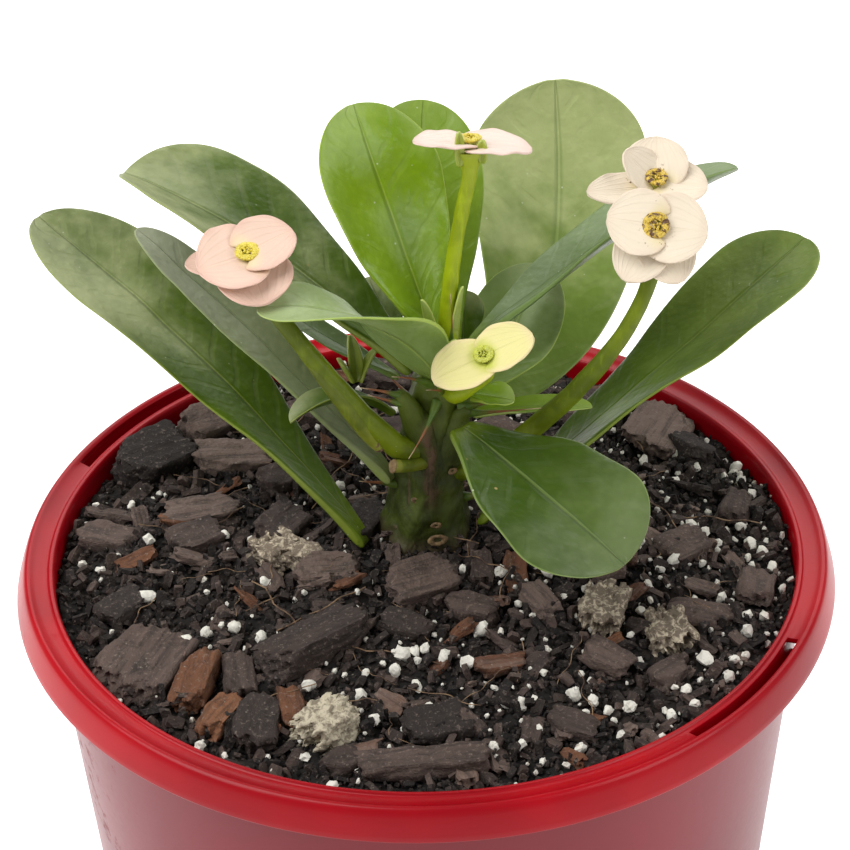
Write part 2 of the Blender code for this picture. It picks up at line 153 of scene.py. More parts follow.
def drawTube(name, points, radii, sides=3, smooth=2):  # a round tube through points, made a mesh
    clearPicks()
    bpy.ops.curve.primitive_nurbs_path_add()
    piece = named(name)
    curve = piece.data
    curve.splines.clear()
    line = curve.splines.new("NURBS")
    line.points.add(len(points) - 1)
    for point, place, radius in zip(line.points, points, radii):
        point.co = (*(Vector(place) * mm), 1)
        point.radius = radius
    line.use_endpoint_u = True
    line.order_u = min(4, len(points))
    line.resolution_u = smooth
    curve.dimensions = "3D"
    curve.bevel_depth = mm
    curve.bevel_resolution = sides - 1 if sides > 1 else 0
    curve.use_fill_caps = True
    bpy.ops.object.convert(target="MESH")
    piece = named(name)
    openEdit(piece)
    bpy.ops.mesh.select_all(action="SELECT")
    bpy.ops.mesh.remove_doubles(threshold=0.00001)
    bpy.ops.mesh.normals_make_consistent(inside=False)
    closeEdit()
    return piece


# materials: a value on a wire, and a finish that holds the nodes


class Wire:
    def __init__(self, tree, socket):
        self.tree = tree
        self.socket = socket

    def reckon(self, kind, *others, clamp=False, flip=False):
        node = self.tree.nodes.new("ShaderNodeMath")
        node.operation = kind
        node.use_clamp = clamp
        values = [self, *others]
        if flip:
            values.reverse()
        for place, value in enumerate(values):
            join(self.tree, value, node.inputs[place])
        return Wire(self.tree, node.outputs[0])

    def __add__(self, other): return self.reckon("ADD", other)
    def __radd__(self, other): return self.reckon("ADD", other)
    def __sub__(self, other): return self.reckon("SUBTRACT", other)
    def __rsub__(self, other): return self.reckon("SUBTRACT", other, flip=True)
    def __mul__(self, other): return self.reckon("MULTIPLY", other)
    def __rmul__(self, other): return self.reckon("MULTIPLY", other)
    def __truediv__(self, other): return self.reckon("DIVIDE", other)
    def __rtruediv__(self, other): return self.reckon("DIVIDE", other, flip=True)
    def __pow__(self, other): return self.reckon("POWER", other)
    def __abs__(self): return self.reckon("ABSOLUTE")
    def sine(self): return self.reckon("SINE")
    def least(self, other): return self.reckon("MINIMUM", other)
    def most(self, other): return self.reckon("MAXIMUM", other)

    def ease(self, low, high, start=0.0, end=1.0):  # smooth step from start to end
        node = self.tree.nodes.new("ShaderNodeMapRange")
        node.interpolation_type = "SMOOTHSTEP"
        for place, value in enumerate((self, low, high, start, end)):
            join(self.tree, value, node.inputs[place])
        return Wire(self.tree, node.outputs[0])


def join(tree, value, socket):
    if isinstance(value, Wire):
        tree.links.new(value.socket, socket)
    elif socket.type == "RGBA" and not isinstance(value, (int, float)):
        socket.default_value = (*value, 1.0)[:4]
    else:
        socket.default_value = value


class Finish:
    def __init__(self, name, roughness=0.5, **constants):
        self.material = bpy.data.materials.new(name)
        self.material.use_nodes = True
        self.tree = self.material.node_tree
        self.shader = self.tree.nodes["Principled BSDF"]
        self.shader.inputs["Roughness"].default_value = roughness
        for label, value in constants.items():
            self.shader.inputs[label.replace("_", " ")].default_value = value

    def node(self, kind, **settings):
        made = self.tree.nodes.new(kind)
        for key, value in settings.items():
            setattr(made, key, value)
        return made

    def here(self, x=1.0, y=1.0, z=1.0, turned=(0, 0, 0)):  # place on the object, stretched
        where = self.node("ShaderNodeTexCoord").outputs["Object"]
        stretch = self.node("ShaderNodeMapping")
        stretch.inputs["Scale"].default_value = (x, y, z)
        stretch.inputs["Rotation"].default_value = [math.radians(a) for a in turned]
        self.tree.links.new(where, stretch.inputs["Vector"])
        return Wire(self.tree, stretch.outputs["Vector"])

    def split(self, wire):
        parts = self.node("ShaderNodeSeparateXYZ")
        join(self.tree, wire, parts.inputs[0])
        return [Wire(self.tree, out) for out in parts.outputs]

    def gather(self, x, y, z=0.0):
        parts = self.node("ShaderNodeCombineXYZ")
        for place, value in enumerate((x, y, z)):
            join(self.tree, value, parts.inputs[place])
        return Wire(self.tree, parts.outputs[0])

    def sheet(self):  # along and across a leaf, from its own map
        return self.split(Wire(self.tree, self.node("ShaderNodeUVMap").outputs[0]))[:2]

    def mark(self, name):  # a number kept on the mesh
        return Wire(self.tree, self.node("ShaderNodeAttribute", attribute_name=name).outputs["Fac"])

    def noise(self, scale, detail=3.0, rough=0.55, warp=0.0, at=None):
        made = self.node("ShaderNodeTexNoise")
        join(self.tree, at or self.here(), made.inputs["Vector"])
        for label, value in (("Scale", scale), ("Detail", detail), ("Roughness", rough),
                             ("Distortion", warp)):
            made.inputs[label].default_value = value
        return Wire(self.tree, made.outputs["Fac"])

    def cells(self, scale, feature="F1", at=None, jitter=1.0, colour=False):
        made = self.node("ShaderNodeTexVoronoi", feature=feature)
        join(self.tree, at or self.here(), made.inputs["Vector"])
        made.inputs["Scale"].default_value = scale
        made.inputs["Randomness"].default_value = jitter
        return Wire(self.tree, made.outputs["Color" if colour else "Distance"])

    def mix(self, share, first, second, way="MIX"):
        made = self.node("ShaderNodeMix", data_type="RGBA", blend_type=way, clamp_factor=True)
        join(self.tree, share, made.inputs[0])
        join(self.tree, first, made.inputs[6])
        join(self.tree, second, made.inputs[7])
        return Wire(self.tree, made.outputs[2])

    def bump(self, height, depth, strength=1.0):
        made = self.node("ShaderNodeBump")
        made.inputs["Distance"].default_value = depth
        made.inputs["Strength"].default_value = strength
        join(self.tree, height, made.inputs["Height"])
        self.tree.links.new(made.outputs[0], self.shader.inputs["Normal"])

    def wear(self, **wires):  # colour, roughness and so on, wired to the shader
        labels = {"colour": "Base Color", "roughness": "Roughness", "coat": "Coat Weight"}
        for key, wire in wires.items():
            join(self.tree, wire, self.shader.inputs[labels[key]])
        return self.material

# pot

potSetup = {
    "height": 124.0, "baseRadius": 55.0, "wallRadius": 66.2, "wall": 1.4, "floor": 2.4,
    "sides": 192,
    "slotRings": (66.4, 68.4),           # inner and outer radius of the slots in the ledge
    "slotArcs": ((-50.0, -23.5), (130.0, 156.5)),
    "drainCircle": 42.0, "drainRadius": 3.0, "drains": 8,
    # the third red is a painted shade for the outer wall under the rim
    "red": (0.42, 0.0, 0.006), "deepRed": (0.26, 0.0, 0.005), "wallPaintedShade": (0.150, 0.012, 0.020), "scuff": (0.52, 0.07, 0.07),
    "channel": ((66.0, -1.6), (66.0, -6.0), (69.0, -6.0), (69.0, -1.5), (68.45, -1.5), (68.45, -5.5),
                (66.35, -5.5), (66.35, -1.6)),
}


def wallRadius(z):
    return potSetup["baseRadius"] + (potSetup["wallRadius"] - potSetup["baseRadius"]) * z / potSetup["height"]


def potOutline():  # radius and height, from the middle of the floor up, over the rim and down
    top = potSetup["height"]
    inner = wallRadius(potSetup["floor"]) - potSetup["wall"]
    near, far = potSetup["slotRings"]
    return [
        (8, 2.4), (38.6, 2.4), (45.4, 2.4), (inner - 2.6, 2.4), (inner - 1.0, 2.9), (inner - 0.1, 4.2),
        (59.0, 60.0), (63.9, top - 9.0), (64.45, top - 7.6), (64.5, top - 2.0), (64.62, top - 0.95),
        (64.95, top - 0.45), (65.45, top - 0.5), (65.7, top - 0.85), (near, top - 0.9), (far, top - 0.5),
        (68.75, top - 0.12), (69.2, top - 0.02), (69.65, top - 0.22), (69.98, top - 0.72),
        (70.3, top - 1.6), (70.75, top - 3.0), (71.2, top - 4.6), (71.42, top - 5.5), (71.34, top - 5.78),
        (71.05, top - 5.8), (70.7, top - 5.5), (70.2, top - 4.0), (69.5, top - 2.3), (far, top - 1.7),
        (near, top - 1.9), (66.3, top - 2.4), (66.0, top - 4.0), (65.6, top - 8.0), (60.4, 60.0),
        (55.4, 3.2), (55.0, 1.1), (54.3, 0.3), (53.2, 0.0), (45.4, 0.0), (38.6, 0.0), (8, 0.0)]


def raisePot():
    clearPicks()
    outline = potOutline()
    sides = potSetup["sides"]
    bpy.ops.mesh.primitive_circle_add(vertices=sides, radius=outline[0][0] * mm,
                                      location=(0, 0, outline[0][1] * mm))
    pot = named("pot_shell")
    bpy.ops.object.transform_apply(location=True)
    bpy.ops.object.mode_set(mode="EDIT")
    bpy.ops.mesh.select_all(action="SELECT")
    for (oldRadius, oldHeight), (radius, height) in zip(outline, outline[1:]):
        bpy.ops.mesh.extrude_edges_move(TRANSFORM_OT_translate={"value": (0, 0, (height - oldHeight) * mm)})
        grow(radius / oldRadius, radius / oldRadius, 1, centre=(0, 0, height * mm))
    for ring in (outline[-1], outline[0]):  # close the two middles
        pickRing(pot, ring)
        bpy.ops.mesh.extrude_edges_move()
        bpy.ops.mesh.merge(type="CENTER")
    cutSlots(pot)
    cutDrains(pot)
    bpy.ops.mesh.select_all(action="SELECT")
    bpy.ops.mesh.normals_make_consistent(inside=False)
    closeEdit()
    return pot


def pickRing(piece, ring):
    bpy.ops.mesh.select_mode(type="VERT")
    form = bmesh.from_edit_mesh(piece.data)
    radius, height = ring
    for vert in form.verts:
        flat = math.hypot(vert.co.x, vert.co.y)
        vert.select = abs(flat - radius * mm) < 1e-5 and abs(vert.co.z - height * mm) < 1e-5
    form.select_flush(True)
    bmesh.update_edit_mesh(piece.data)


def cutSlots(pot):  # both skins of the ledge are picked and joined through
    near, far = potSetup["slotRings"]
    for start, end in potSetup["slotArcs"]:
        def inSlot(middle, normal):
            flat = math.hypot(middle.x, middle.y) / mm
            angle = math.degrees(math.atan2(middle.y, middle.x))
            return near < flat < far and start < angle < end and middle.z > 0.12
        pickFaces(pot, inSlot)
        bpy.ops.mesh.bridge_edge_loops()


def cutDrains(pot):
    inner, outer = 38.6, 45.4
    for number in range(potSetup["drains"]):
        at = 360 / potSetup["drains"] * (number + 0.5) - 180
        def inDrain(middle, normal):
            flat = math.hypot(middle.x, middle.y) / mm
            angle = math.degrees(math.atan2(middle.y, middle.x))
            return inner < flat < outer and abs(angle - at) < 4.6 and middle.z < 0.003
        pickFaces(pot, inDrain)
        bpy.ops.mesh.bridge_edge_loops()


def potFinish():
    finish = Finish("pot_red", roughness=0.24, Specular_IOR_Level=0.21, Coat_Weight=0.04, Coat_Roughness=0.1)
    around = finish.noise(22, detail=3)
    fine = finish.noise(900, detail=4, rough=0.7)
    tooling = finish.noise(1.0, detail=5, rough=0.6, at=finish.here(120, 120, 2200))
    scratches = finish.noise(1.0, detail=2, at=finish.here(60, 60, 5200)).ease(0.70, 0.78)
    dust = (finish.noise(260, detail=5, rough=0.75) * finish.noise(26, detail=2)).ease(0.34, 0.46)
    colour = finish.mix(around.ease(0.35, 0.65), potSetup["deepRed"], potSetup["red"])
    colour = finish.mix(tooling * 0.25, colour, potSetup["red"])
    # painted shade: below about 117 mm the red is mixed toward a darker, duller red, for the outer wall that lies in
    # shade under the rim
    height = finish.split(finish.here())[2]
    colour = finish.mix(height.ease(0.1180, 0.1165) * 0.8, colour, potSetup["wallPaintedShade"])
    colour = finish.mix(scratches * 0.10, colour, potSetup["scuff"])
    colour = finish.mix(dust * 0.10, colour, (0.16, 0.06, 0.05))
    finish.bump(fine * 0.35, 0.00002, 0.2)
    return finish.wear(colour=colour, roughness=0.24 + fine * 0.10 + dust * 0.25 + tooling * 0.06)


def layChannels():  # a narrow channel under each slot, carried round step by step
    channels = []
    for start, end in potSetup["slotArcs"]:
        clearPicks()
        bpy.ops.mesh.primitive_circle_add(vertices=len(potSetup["channel"]), radius=1, fill_type="NGON")
        channel = named("slot_channel")
        bpy.ops.object.mode_set(mode="EDIT")
        bpy.ops.mesh.select_mode(type="VERT")
        for number, (far, low) in enumerate(potSetup["channel"]):
            pick(channel, [number])
            spot = bmesh.from_edit_mesh(channel.data).verts[number].co
            shift(far * mm - spot.x, -spot.y, (potSetup["height"] + low) * mm - spot.z)
        bpy.ops.mesh.select_all(action="SELECT")
        turn(start - 2, "Z")
        for step in range(18):
            bpy.ops.mesh.extrude_region_move(TRANSFORM_OT_translate={"value": (0, 0, 0)})
            turn((end - start + 4) / 18, "Z")
        bpy.ops.mesh.select_all(action="SELECT")
        bpy.ops.mesh.normals_make_consistent(inside=False)
        closeEdit()
        channels.append(channel)
    return channels


def makePot():
    pot = joinAll("pot_shell", [raisePot(), *layChannels()])
    finishWith(pot, "BEVEL", width=0.00022, segments=2, limit_method="ANGLE", angle_limit=math.radians(50))
    settle(pot, [potFinish()], ["pot"], angle=40)
    print("pot: wall, ledge, rolled rim, slots and drains")


makePot()

# leaves: each blade is a grid, shaped row by row along its middle line

bladeRows = 26
bladeColumns = 10
tipCrowding = 1.8

leafSetup = {
    "leaf_left_low": dict(
        base=(-10.3, -2.6, 126.0), heading=149, turned=-5, length=82, width=23, rise=(47, 21),
        roll=(-12, 0), cup=0.10, neck=0.16, belly=0.76, swell=1.5, fold=0.10, tone="dark", wave=0.5),
    "leaf_left_high": dict(
        base=(-1.6, 2.6, 158.4), heading=154, turned=5, length=60, width=31, rise=(41, 15),
        roll=(-5, -14), cup=0.10, neck=0.13, belly=0.80, swell=1.3, fold=0.24, tone="dark", wave=0.5),
    "leaf_left_middle": dict(
        base=(-5.5, 0.6, 137.2), heading=152, turned=-3, length=62, width=11.5, rise=(44, 30),
        roll=(-5, -2), cup=0.12, neck=0.24, belly=0.68, swell=1.2, fold=0.1, tone="grey", wave=0.3),
    "leaf_upright_front": dict(
        base=(2.6, 2.6, 161.6), heading=134, turned=-17, length=45, width=22.5, rise=(69, 50),
        roll=(-6, 2), cup=0.10, neck=0.14, belly=0.68, swell=1.35, fold=0.08, tone="young", wave=0.6),
    "leaf_twisted": dict(
        base=(3.0, -1.8, 160.6), heading=207, turned=-24, length=38, width=17, rise=(64, -2),
        roll=(-66, 14), cup=0.10, neck=0.20, belly=0.42, swell=1.0, fold=0.12, tone="olive", wave=0.3),
    "leaf_upright_back": dict(
        base=(5.6, 8.4, 160.2), heading=114, turned=-29, length=43, width=20, rise=(62, 36),
        roll=(-3, -7), cup=0.10, neck=0.14, belly=0.68, swell=1.35, fold=0.08, tone="bright", wave=0.5),
    "leaf_back_tall": dict(
        base=(8.6, 6.2, 148.6), heading=53, turned=47, length=72, width=32, rise=(-10, 78),
        roll=(-42, 6), cup=0.08, neck=0.14, belly=0.80, swell=1.2, fold=0.06, tone="pale", wave=0.6),
    "leaf_right_narrow": dict(
        base=(8.4, 4.4, 161.4), heading=33, turned=-22, length=55.5, width=22, rise=(27, 23),
        roll=(22, 25), cup=0.12, neck=0.12, belly=0.68, swell=1.3, fold=0.2, tone="blue", wave=0.3),
    "leaf_right_inner": dict(
        base=(8.7, 4.2, 153.2), heading=52, turned=16, length=27, width=16.5, rise=(14, 44),
        roll=(-16, -6), cup=0.10, neck=0.18, belly=0.56, swell=1.1, fold=0.1, tone="olive", wave=0.4),
    "leaf_right_low": dict(
        base=(9.6, 1.6, 127.2), heading=11, turned=26, length=76, width=25, rise=(40, 25),
        roll=(28, 8), cup=0.08, neck=0.20, belly=0.84, swell=1.1, fold=0.08, tone="mottled", wave=0.5),
    "leaf_front_drooping": dict(
        base=(6.0, -5.0, 151.8), heading=-44, turned=3, length=38, width=30, rise=(-10, -24),
        roll=(10, -6), cup=0.06, neck=0.16, belly=0.66, swell=1.1, fold=0.08, tone="glossy", wave=0.6),
    "leaf_right_small": dict(
        base=(8.4, 1.0, 150.6), heading=14, turned=-14, length=21, width=5.4, rise=(0, -4),
        roll=(0, 0), cup=0.15, neck=0.25, belly=0.62, swell=1.2, fold=0.2, tone="bright", wave=0.1),
    "leaf_under_flower": dict(
        base=(8.4, -3.4, 157.2), heading=-18, turned=8, length=7.4, width=7, rise=(10, -9),
        roll=(0, 0), cup=0.25, neck=0.25, belly=0.60, swell=1.2, fold=0.1, tone="young", wave=0.1),
    "leaf_back_small": dict(
        base=(7.4, 11.4, 158.0), heading=88, turned=0, length=9.5, width=7.5, rise=(60, 40),
        roll=(0, 0), cup=0.15, neck=0.2, belly=0.60, swell=1.3, fold=0.1, tone="dark", wave=0.1),
    "leaf_back_curled": dict(
        base=(-2.4, 9.4, 157.8), heading=132, turned=-28, length=16, width=6, rise=(46, 16),
        roll=(0, 3), cup=0.20, neck=0.2, belly=0.60, swell=1.3, fold=0.1, tone="dark", wave=0.1),
    "leaf_left_boat": dict(
        base=(-4.8, 1.6, 150.6), heading=186, turned=4, length=19.5, width=6.8, rise=(44, -42),
        roll=(-36, 0), cup=0.25, neck=0.2, belly=0.66, swell=1.4, fold=0.3, tone="dark", wave=0.1),
    "leaf_left_inner": dict(
        base=(-3.6, 10.6, 152.0), heading=154, turned=-4, length=27, width=5.6, rise=(14, 26),
        roll=(0, 0), cup=0.12, neck=0.2, belly=0.60, swell=1.4, fold=0.2, tone="blue", wave=0.1),
}

# colours of a blade: deep and light green of the upper side, a pale waxy bloom with painted sheen over it, underside
# and edge
leafTones = {
    "dark": dict(deep=(0.040, 0.080, 0.001), light=(0.088, 0.146, 0.006), bloomAndSheen=(0.46, 0.49, 0.25),
                 under=(0.14, 0.19, 0.035), edge=(0.30, 0.36, 0.06), bloomAndSheenShare=0.62, gloss=0.36, coat=0.12),
    "grey": dict(deep=(0.180, 0.220, 0.095), light=(0.295, 0.335, 0.180), bloomAndSheen=(0.40, 0.42, 0.31),
                 under=(0.12, 0.16, 0.05), edge=(0.26, 0.32, 0.11), bloomAndSheenShare=0.75, gloss=0.42, coat=0.08),
    "young": dict(deep=(0.135, 0.240, 0.001), light=(0.215, 0.345, 0.008), bloomAndSheen=(0.42, 0.51, 0.20),
                  under=(0.22, 0.30, 0.03), edge=(0.42, 0.52, 0.08), bloomAndSheenShare=0.42, gloss=0.28, coat=0.25),
    "olive": dict(deep=(0.165, 0.250, 0.050), light=(0.260, 0.350, 0.125), bloomAndSheen=(0.42, 0.48, 0.27),
                  under=(0.190, 0.240, 0.035), edge=(0.42, 0.54, 0.10), bloomAndSheenShare=0.45, gloss=0.34, coat=0.14),
    "pale": dict(deep=(0.100, 0.164, 0.014), light=(0.175, 0.262, 0.040), bloomAndSheen=(0.46, 0.50, 0.23),
                 under=(0.16, 0.22, 0.06), edge=(0.32, 0.40, 0.12), bloomAndSheenShare=0.70, gloss=0.44, coat=0.08),
    "blue": dict(deep=(0.092, 0.142, 0.044), light=(0.172, 0.240, 0.096), bloomAndSheen=(0.32, 0.38, 0.22),
                 under=(0.12, 0.17, 0.06), edge=(0.18, 0.28, 0.06), bloomAndSheenShare=0.45, gloss=0.36, coat=0.12),
    "bright": dict(deep=(0.122, 0.215, 0.003), light=(0.195, 0.305, 0.018), bloomAndSheen=(0.35, 0.42, 0.14),
                   under=(0.20, 0.28, 0.04), edge=(0.42, 0.50, 0.17), bloomAndSheenShare=0.25, gloss=0.36, coat=0.14),
    "mottled": dict(deep=(0.056, 0.104, 0.001), light=(0.128, 0.202, 0.008), bloomAndSheen=(0.27, 0.34, 0.08),
                    under=(0.14, 0.20, 0.04), edge=(0.28, 0.35, 0.06), bloomAndSheenShare=0.40, gloss=0.38, coat=0.10),
    "glossy": dict(deep=(0.030, 0.064, 0.002), light=(0.064, 0.112, 0.008), bloomAndSheen=(0.25, 0.29, 0.16),
                   under=(0.12, 0.18, 0.04), edge=(0.26, 0.34, 0.10), bloomAndSheenShare=0.32, gloss=0.29, coat=0.20),
}


def halfWidth(share, shape):
    width, neck, belly = shape["width"], shape["neck"], shape["belly"]
    if share < belly:
        fill = math.sin(math.pi / 2 * share / belly) ** shape["swell"]
        return width / 2 * (neck + (1 - neck) * fill)
    return width / 2 * math.sqrt(max(0.0, 1 - ((share - belly) / (1 - belly)) ** 2))


def middleLine(shape, steps=48):  # points and slopes along the middle of a blade
    rise, turned, length = shape["rise"], shape["turned"], shape["length"]
    point = Vector((0, 0, 0))
    line = []
    for step in range(steps + 1):
        share = step / steps
        slope = rise[0] + (rise[1] - rise[0]) * share
        heading = turned * share
        line.append((point.copy(), slope, heading))
        lean, way = math.radians(slope), math.radians(heading)
        point += Vector((math.cos(lean) * math.cos(way), math.cos(lean) * math.sin(way),
                         math.sin(lean))) * length / steps
    return line


def lineAt(line, share):
    place = share * (len(line) - 1)
    low = min(int(place), len(line) - 2)
    rest = place - low
    first, second = line[low], line[low + 1]
    return [a + (b - a) * rest for a, b in zip(first, second)]


def shapeBlade(name, shape, rows=bladeRows, columns=bladeColumns):
    clearPicks()
    bpy.ops.mesh.primitive_grid_add(x_subdivisions=rows, y_subdivisions=columns, size=1)
    piece = named(name)
    rowOf = [round((v.co.x + 0.5) * rows) for v in piece.data.vertices]
    columnOf = [round((v.co.y + 0.5) * columns) for v in piece.data.vertices]
    widest = shape["width"]
    sweep = shape.get("sweep", 0.0)
    bpy.ops.object.mode_set(mode="EDIT")
    bpy.ops.mesh.select_mode(type="VERT")
    bpy.ops.mesh.select_all(action="SELECT")
    grow(0, 1, 1)
    for column in range(columns + 1):
        across = 2 * column / columns - 1
        lift = shape["cup"] * across ** 2 + shape["fold"] * abs(across)
        pick(piece, [n for n, c in enumerate(columnOf) if c == column])
        shift(-sweep * across ** 2, 0, lift / 2)
    line = middleLine(shape)
    chance = random.Random(name)
    phase = chance.uniform(0, 6)
    for row in range(rows + 1):
        share = 1 - (1 - row / rows) ** tipCrowding
        reach = max(halfWidth(share, shape), widest * 0.045)
        point, slope, heading = lineAt(line, share)
        twist = shape["roll"][0] + (shape["roll"][1] - shape["roll"][0]) * share
        members = [n for n, r in enumerate(rowOf) if r == row]
        if shape["wave"]:
            swing = shape["wave"] * math.sin(math.pi * share)
            for column, beat in ((0, 17), (1, 17), (columns - 1, 15), (columns, 15)):
                pick(piece, [n for n in members if columnOf[n] == column])
                far = 1.0 if column in (0, columns) else 0.45
                shift(0, 0, far * swing * math.sin(beat * share + phase + column) / reach / 2)
        pick(piece, members)
        grow((1 - share) ** 0.7 if sweep else 1, 2 * reach, 2 * reach)
        turn(-twist, "X")
        turn(-slope, "Y")
        turn(heading, "Z")
        shift(*point)
    bpy.ops.mesh.select_all(action="SELECT")
    grow(mm, mm, mm)
    closeEdit()
    weightThickness(piece, rowOf, columnOf, rows, columns, shape.get("stalkWeight", 1.0))
    return piece


def weightThickness(piece, rowOf, columnOf, rows, columns, foot):  # thick stalk and rib, thin edge
    body = piece.vertex_groups.new(name="thickness")
    for number, (row, column) in enumerate(zip(rowOf, columnOf)):
        share = row / rows
        across = abs(2 * column / columns - 1)
        rib = (1 - across) ** 2 * (1 - 0.7 * share)
        body.add([number], min(1.0, 0.20 + 0.25 * rib + foot * 0.75 * (1 - share) ** 5), "REPLACE")


def leafFinish(name, tone, shape):
    finish = Finish(name, roughness=0.4, Specular_IOR_Level=0.22, Coat_Roughness=0.18)
    along, cross = finish.sheet()
    across = abs(cross * 2 - 1)
    share = 1 - (1 - along) ** tipCrowding
    ribWidth = 0.050 - share * 0.034
    rib = across.ease(ribWidth, ribWidth * 0.3)
    groove = across.ease(ribWidth * 2.6, ribWidth * 0.8) * (1 - rib)
    edge = across.ease(0.962, 0.990).most(along.ease(0.982, 0.997))
    blotch = finish.noise(42, detail=3, warp=0.6)
    mottle = finish.noise(330, detail=4, rough=0.65)
    pebble = finish.cells(820, feature="SMOOTH_F1", jitter=0.9)
    slant = share * (shape["length"] * 0.92) - across * (shape["width"] * 0.36)
    drift = finish.noise(90, detail=3) * 5.0
    veins = ((slant + drift) * 1.15).sine().ease(0.55, 1.0) * across.ease(0.03, 0.2) * (1 - edge)
    veins = veins * finish.noise(120, detail=2).ease(0.35, 0.65)
    # painted sheen: the pale patches are partly a waxy bloom and partly a painted sheen, pushed up toward the tip
    # where the leaves catch the light
    bloomAndSheen = (finish.noise(26, detail=4, rough=0.6, warp=0.9) + share * share * 0.42
             + finish.noise(190, detail=3) * 0.25).ease(0.68, 1.04)
    colour = finish.mix(blotch.ease(0.3, 0.72), tone["deep"], tone["light"])
    colour = finish.mix(mottle.ease(0.48, 0.76) * 0.42, colour, tone["light"])
    colour = finish.mix(pebble.ease(0.2, 0.6) * 0.30, colour, tone["deep"])
    colour = finish.mix(bloomAndSheen * tone["bloomAndSheenShare"] * (0.7 + mottle * 0.6), colour, tone["bloomAndSheen"])
    colour = finish.mix(veins * 0.06, colour, tone["bloomAndSheen"])
    colour = finish.mix(groove * 0.35, colour, tone["deep"])
    colour = finish.mix(rib * (0.42 - share * 0.30), colour, tone["edge"])
    colour = finish.mix(edge * 0.6, colour, tone["edge"])
    specks = finish.cells(420, jitter=1.0).ease(0.085, 0.05) * finish.noise(60).ease(0.52, 0.6)
    colour = finish.mix(specks * 0.55, colour, (0.62, 0.64, 0.50))
    tan = finish.cells(230, jitter=1.0).ease(0.075, 0.05) * finish.noise(33).ease(0.58, 0.62)
    colour = finish.mix(tan * 0.8, colour, (0.42, 0.30, 0.12))
    foot = share.ease(0.16, 0.0)
    colour = finish.mix(foot * 0.5, colour, (0.20, 0.27, 0.015))
    height = mottle * 0.45 + blotch * 0.8 - pebble * 0.30 - rib * 0.9 - groove * 0.5 - veins * 0.25
    finish.bump(height, 0.00058, 0.6)
    gloss = tone["gloss"] + mottle * 0.18 - 0.07 + bloomAndSheen * 0.10 + specks * 0.3
    return finish.wear(colour=colour, roughness=gloss, coat=tone["coat"] - bloomAndSheen * 0.04)


def underFinish(name, tone, shape):
    finish = Finish(name, roughness=0.5, Specular_IOR_Level=0.26)
    along, cross = finish.sheet()
    across = abs(cross * 2 - 1)
    share = 1 - (1 - along) ** tipCrowding
    rib = across.ease(0.08, 0.02)
    edge = across.ease(0.955, 0.988)
    blotch = finish.noise(50, detail=3, warp=0.5)
    mottle = finish.noise(420, detail=4, rough=0.65)
    slant = share * (shape["length"] * 0.92) - across * (shape["width"] * 0.36)
    veins = ((slant + blotch * 4) * 1.3).sine().ease(0.6, 1.0) * across.ease(0.03, 0.2)
    darker = [c * 0.72 for c in tone["under"]]
    colour = finish.mix(blotch.ease(0.3, 0.7), darker, tone["under"])
    colour = finish.mix(mottle.ease(0.5, 0.8) * 0.2, colour, tone["bloomAndSheen"])
    colour = finish.mix(rib * 0.35, colour, tone["edge"])
    colour = finish.mix(edge * 0.7, colour, tone["edge"])
    finish.bump(rib * 1.2 + veins * 0.2 + mottle * 0.5, 0.00028, 0.5)
    return finish.wear(colour=colour, roughness=0.46 + mottle * 0.16)


def growLeaf(name, shape):
    piece = shapeBlade(name + "_blade", shape)
    small = shape["length"] < 30
    wobble(piece, name + "_cloud", 0.012, 0.0004 if small else 0.0011)
    finishWith(piece, "SOLIDIFY", thickness=0.0021 if not small else 0.0013, offset=0,
               vertex_group="thickness", thickness_vertex_group=0.0, material_offset=1,
               material_offset_rim=0)
    finishWith(piece, "SUBSURF", levels=2, render_levels=2)
    piece.rotation_euler = (0, 0, math.radians(shape["heading"]))
    piece.location = Vector(shape["base"]) * mm
    tone = leafTones[shape["tone"]]
    settle(piece, [leafFinish(name + "_upper", tone, shape), underFinish(name + "_under", tone, shape)],
           [name], angle=80)


for leafName, leafShape in leafSetup.items():
    growLeaf(leafName, leafShape)
print("leaves:", len(leafSetup), "blades")

# potting mix: a lumpy ground, and loose pieces strewn on it

groundSetup = {
    "radius": 64.1, "edge": 119.5, "mound": 5.5, "rings": 84, "sides": 240,
    "black": (0.0085, 0.0070, 0.0062), "brown": (0.030, 0.019, 0.013), "grit": (0.075, 0.058, 0.046),
}


def groundHeight(radius):
    share = min(radius / 64.0, 1.0)
    return groundSetup["edge"] + groundSetup["mound"] * (1 + math.cos(math.pi * share)) / 2


def raiseGround():
    clearPicks()
    rings, outer = groundSetup["rings"], groundSetup["radius"]
    bpy.ops.mesh.primitive_circle_add(vertices=groundSetup["sides"], radius=0.6 * mm, fill_type="NGON",
                                      location=(0, 0, groundHeight(0) * mm))
    ground = named("mix_ground")
    bpy.ops.object.transform_apply(location=True)
    bpy.ops.object.mode_set(mode="EDIT")
    bpy.ops.mesh.select_mode(type="EDGE")
    bpy.ops.mesh.select_all(action="SELECT")
    bpy.ops.mesh.region_to_loop()
    old = 0.6
    for ring in range(1, rings + 1):
        radius = 0.6 + (outer - 0.6) * ring / rings
        rise = groundHeight(radius) - groundHeight(old)
        bpy.ops.mesh.extrude_edges_move(TRANSFORM_OT_translate={"value": (0, 0, rise * mm)})
        grow(radius / old, radius / old, 1)
        old = radius
    closeEdit()
    rough = bpy.data.objects["mix_ground"]
    finishWith(rough, "DISPLACE", texture=cloudTexture("mix_heaps", 0.016), strength=0.0042,
               direction="Z", texture_coords="LOCAL")
    finishWith(rough, "DISPLACE", texture=cloudTexture("mix_clods", 0.0052), strength=0.0034,
               direction="Z", texture_coords="LOCAL")
    finishWith(rough, "DISPLACE", texture=cloudTexture("mix_grit", 0.0016), strength=0.0019,
               direction="NORMAL", texture_coords="LOCAL")
    return rough


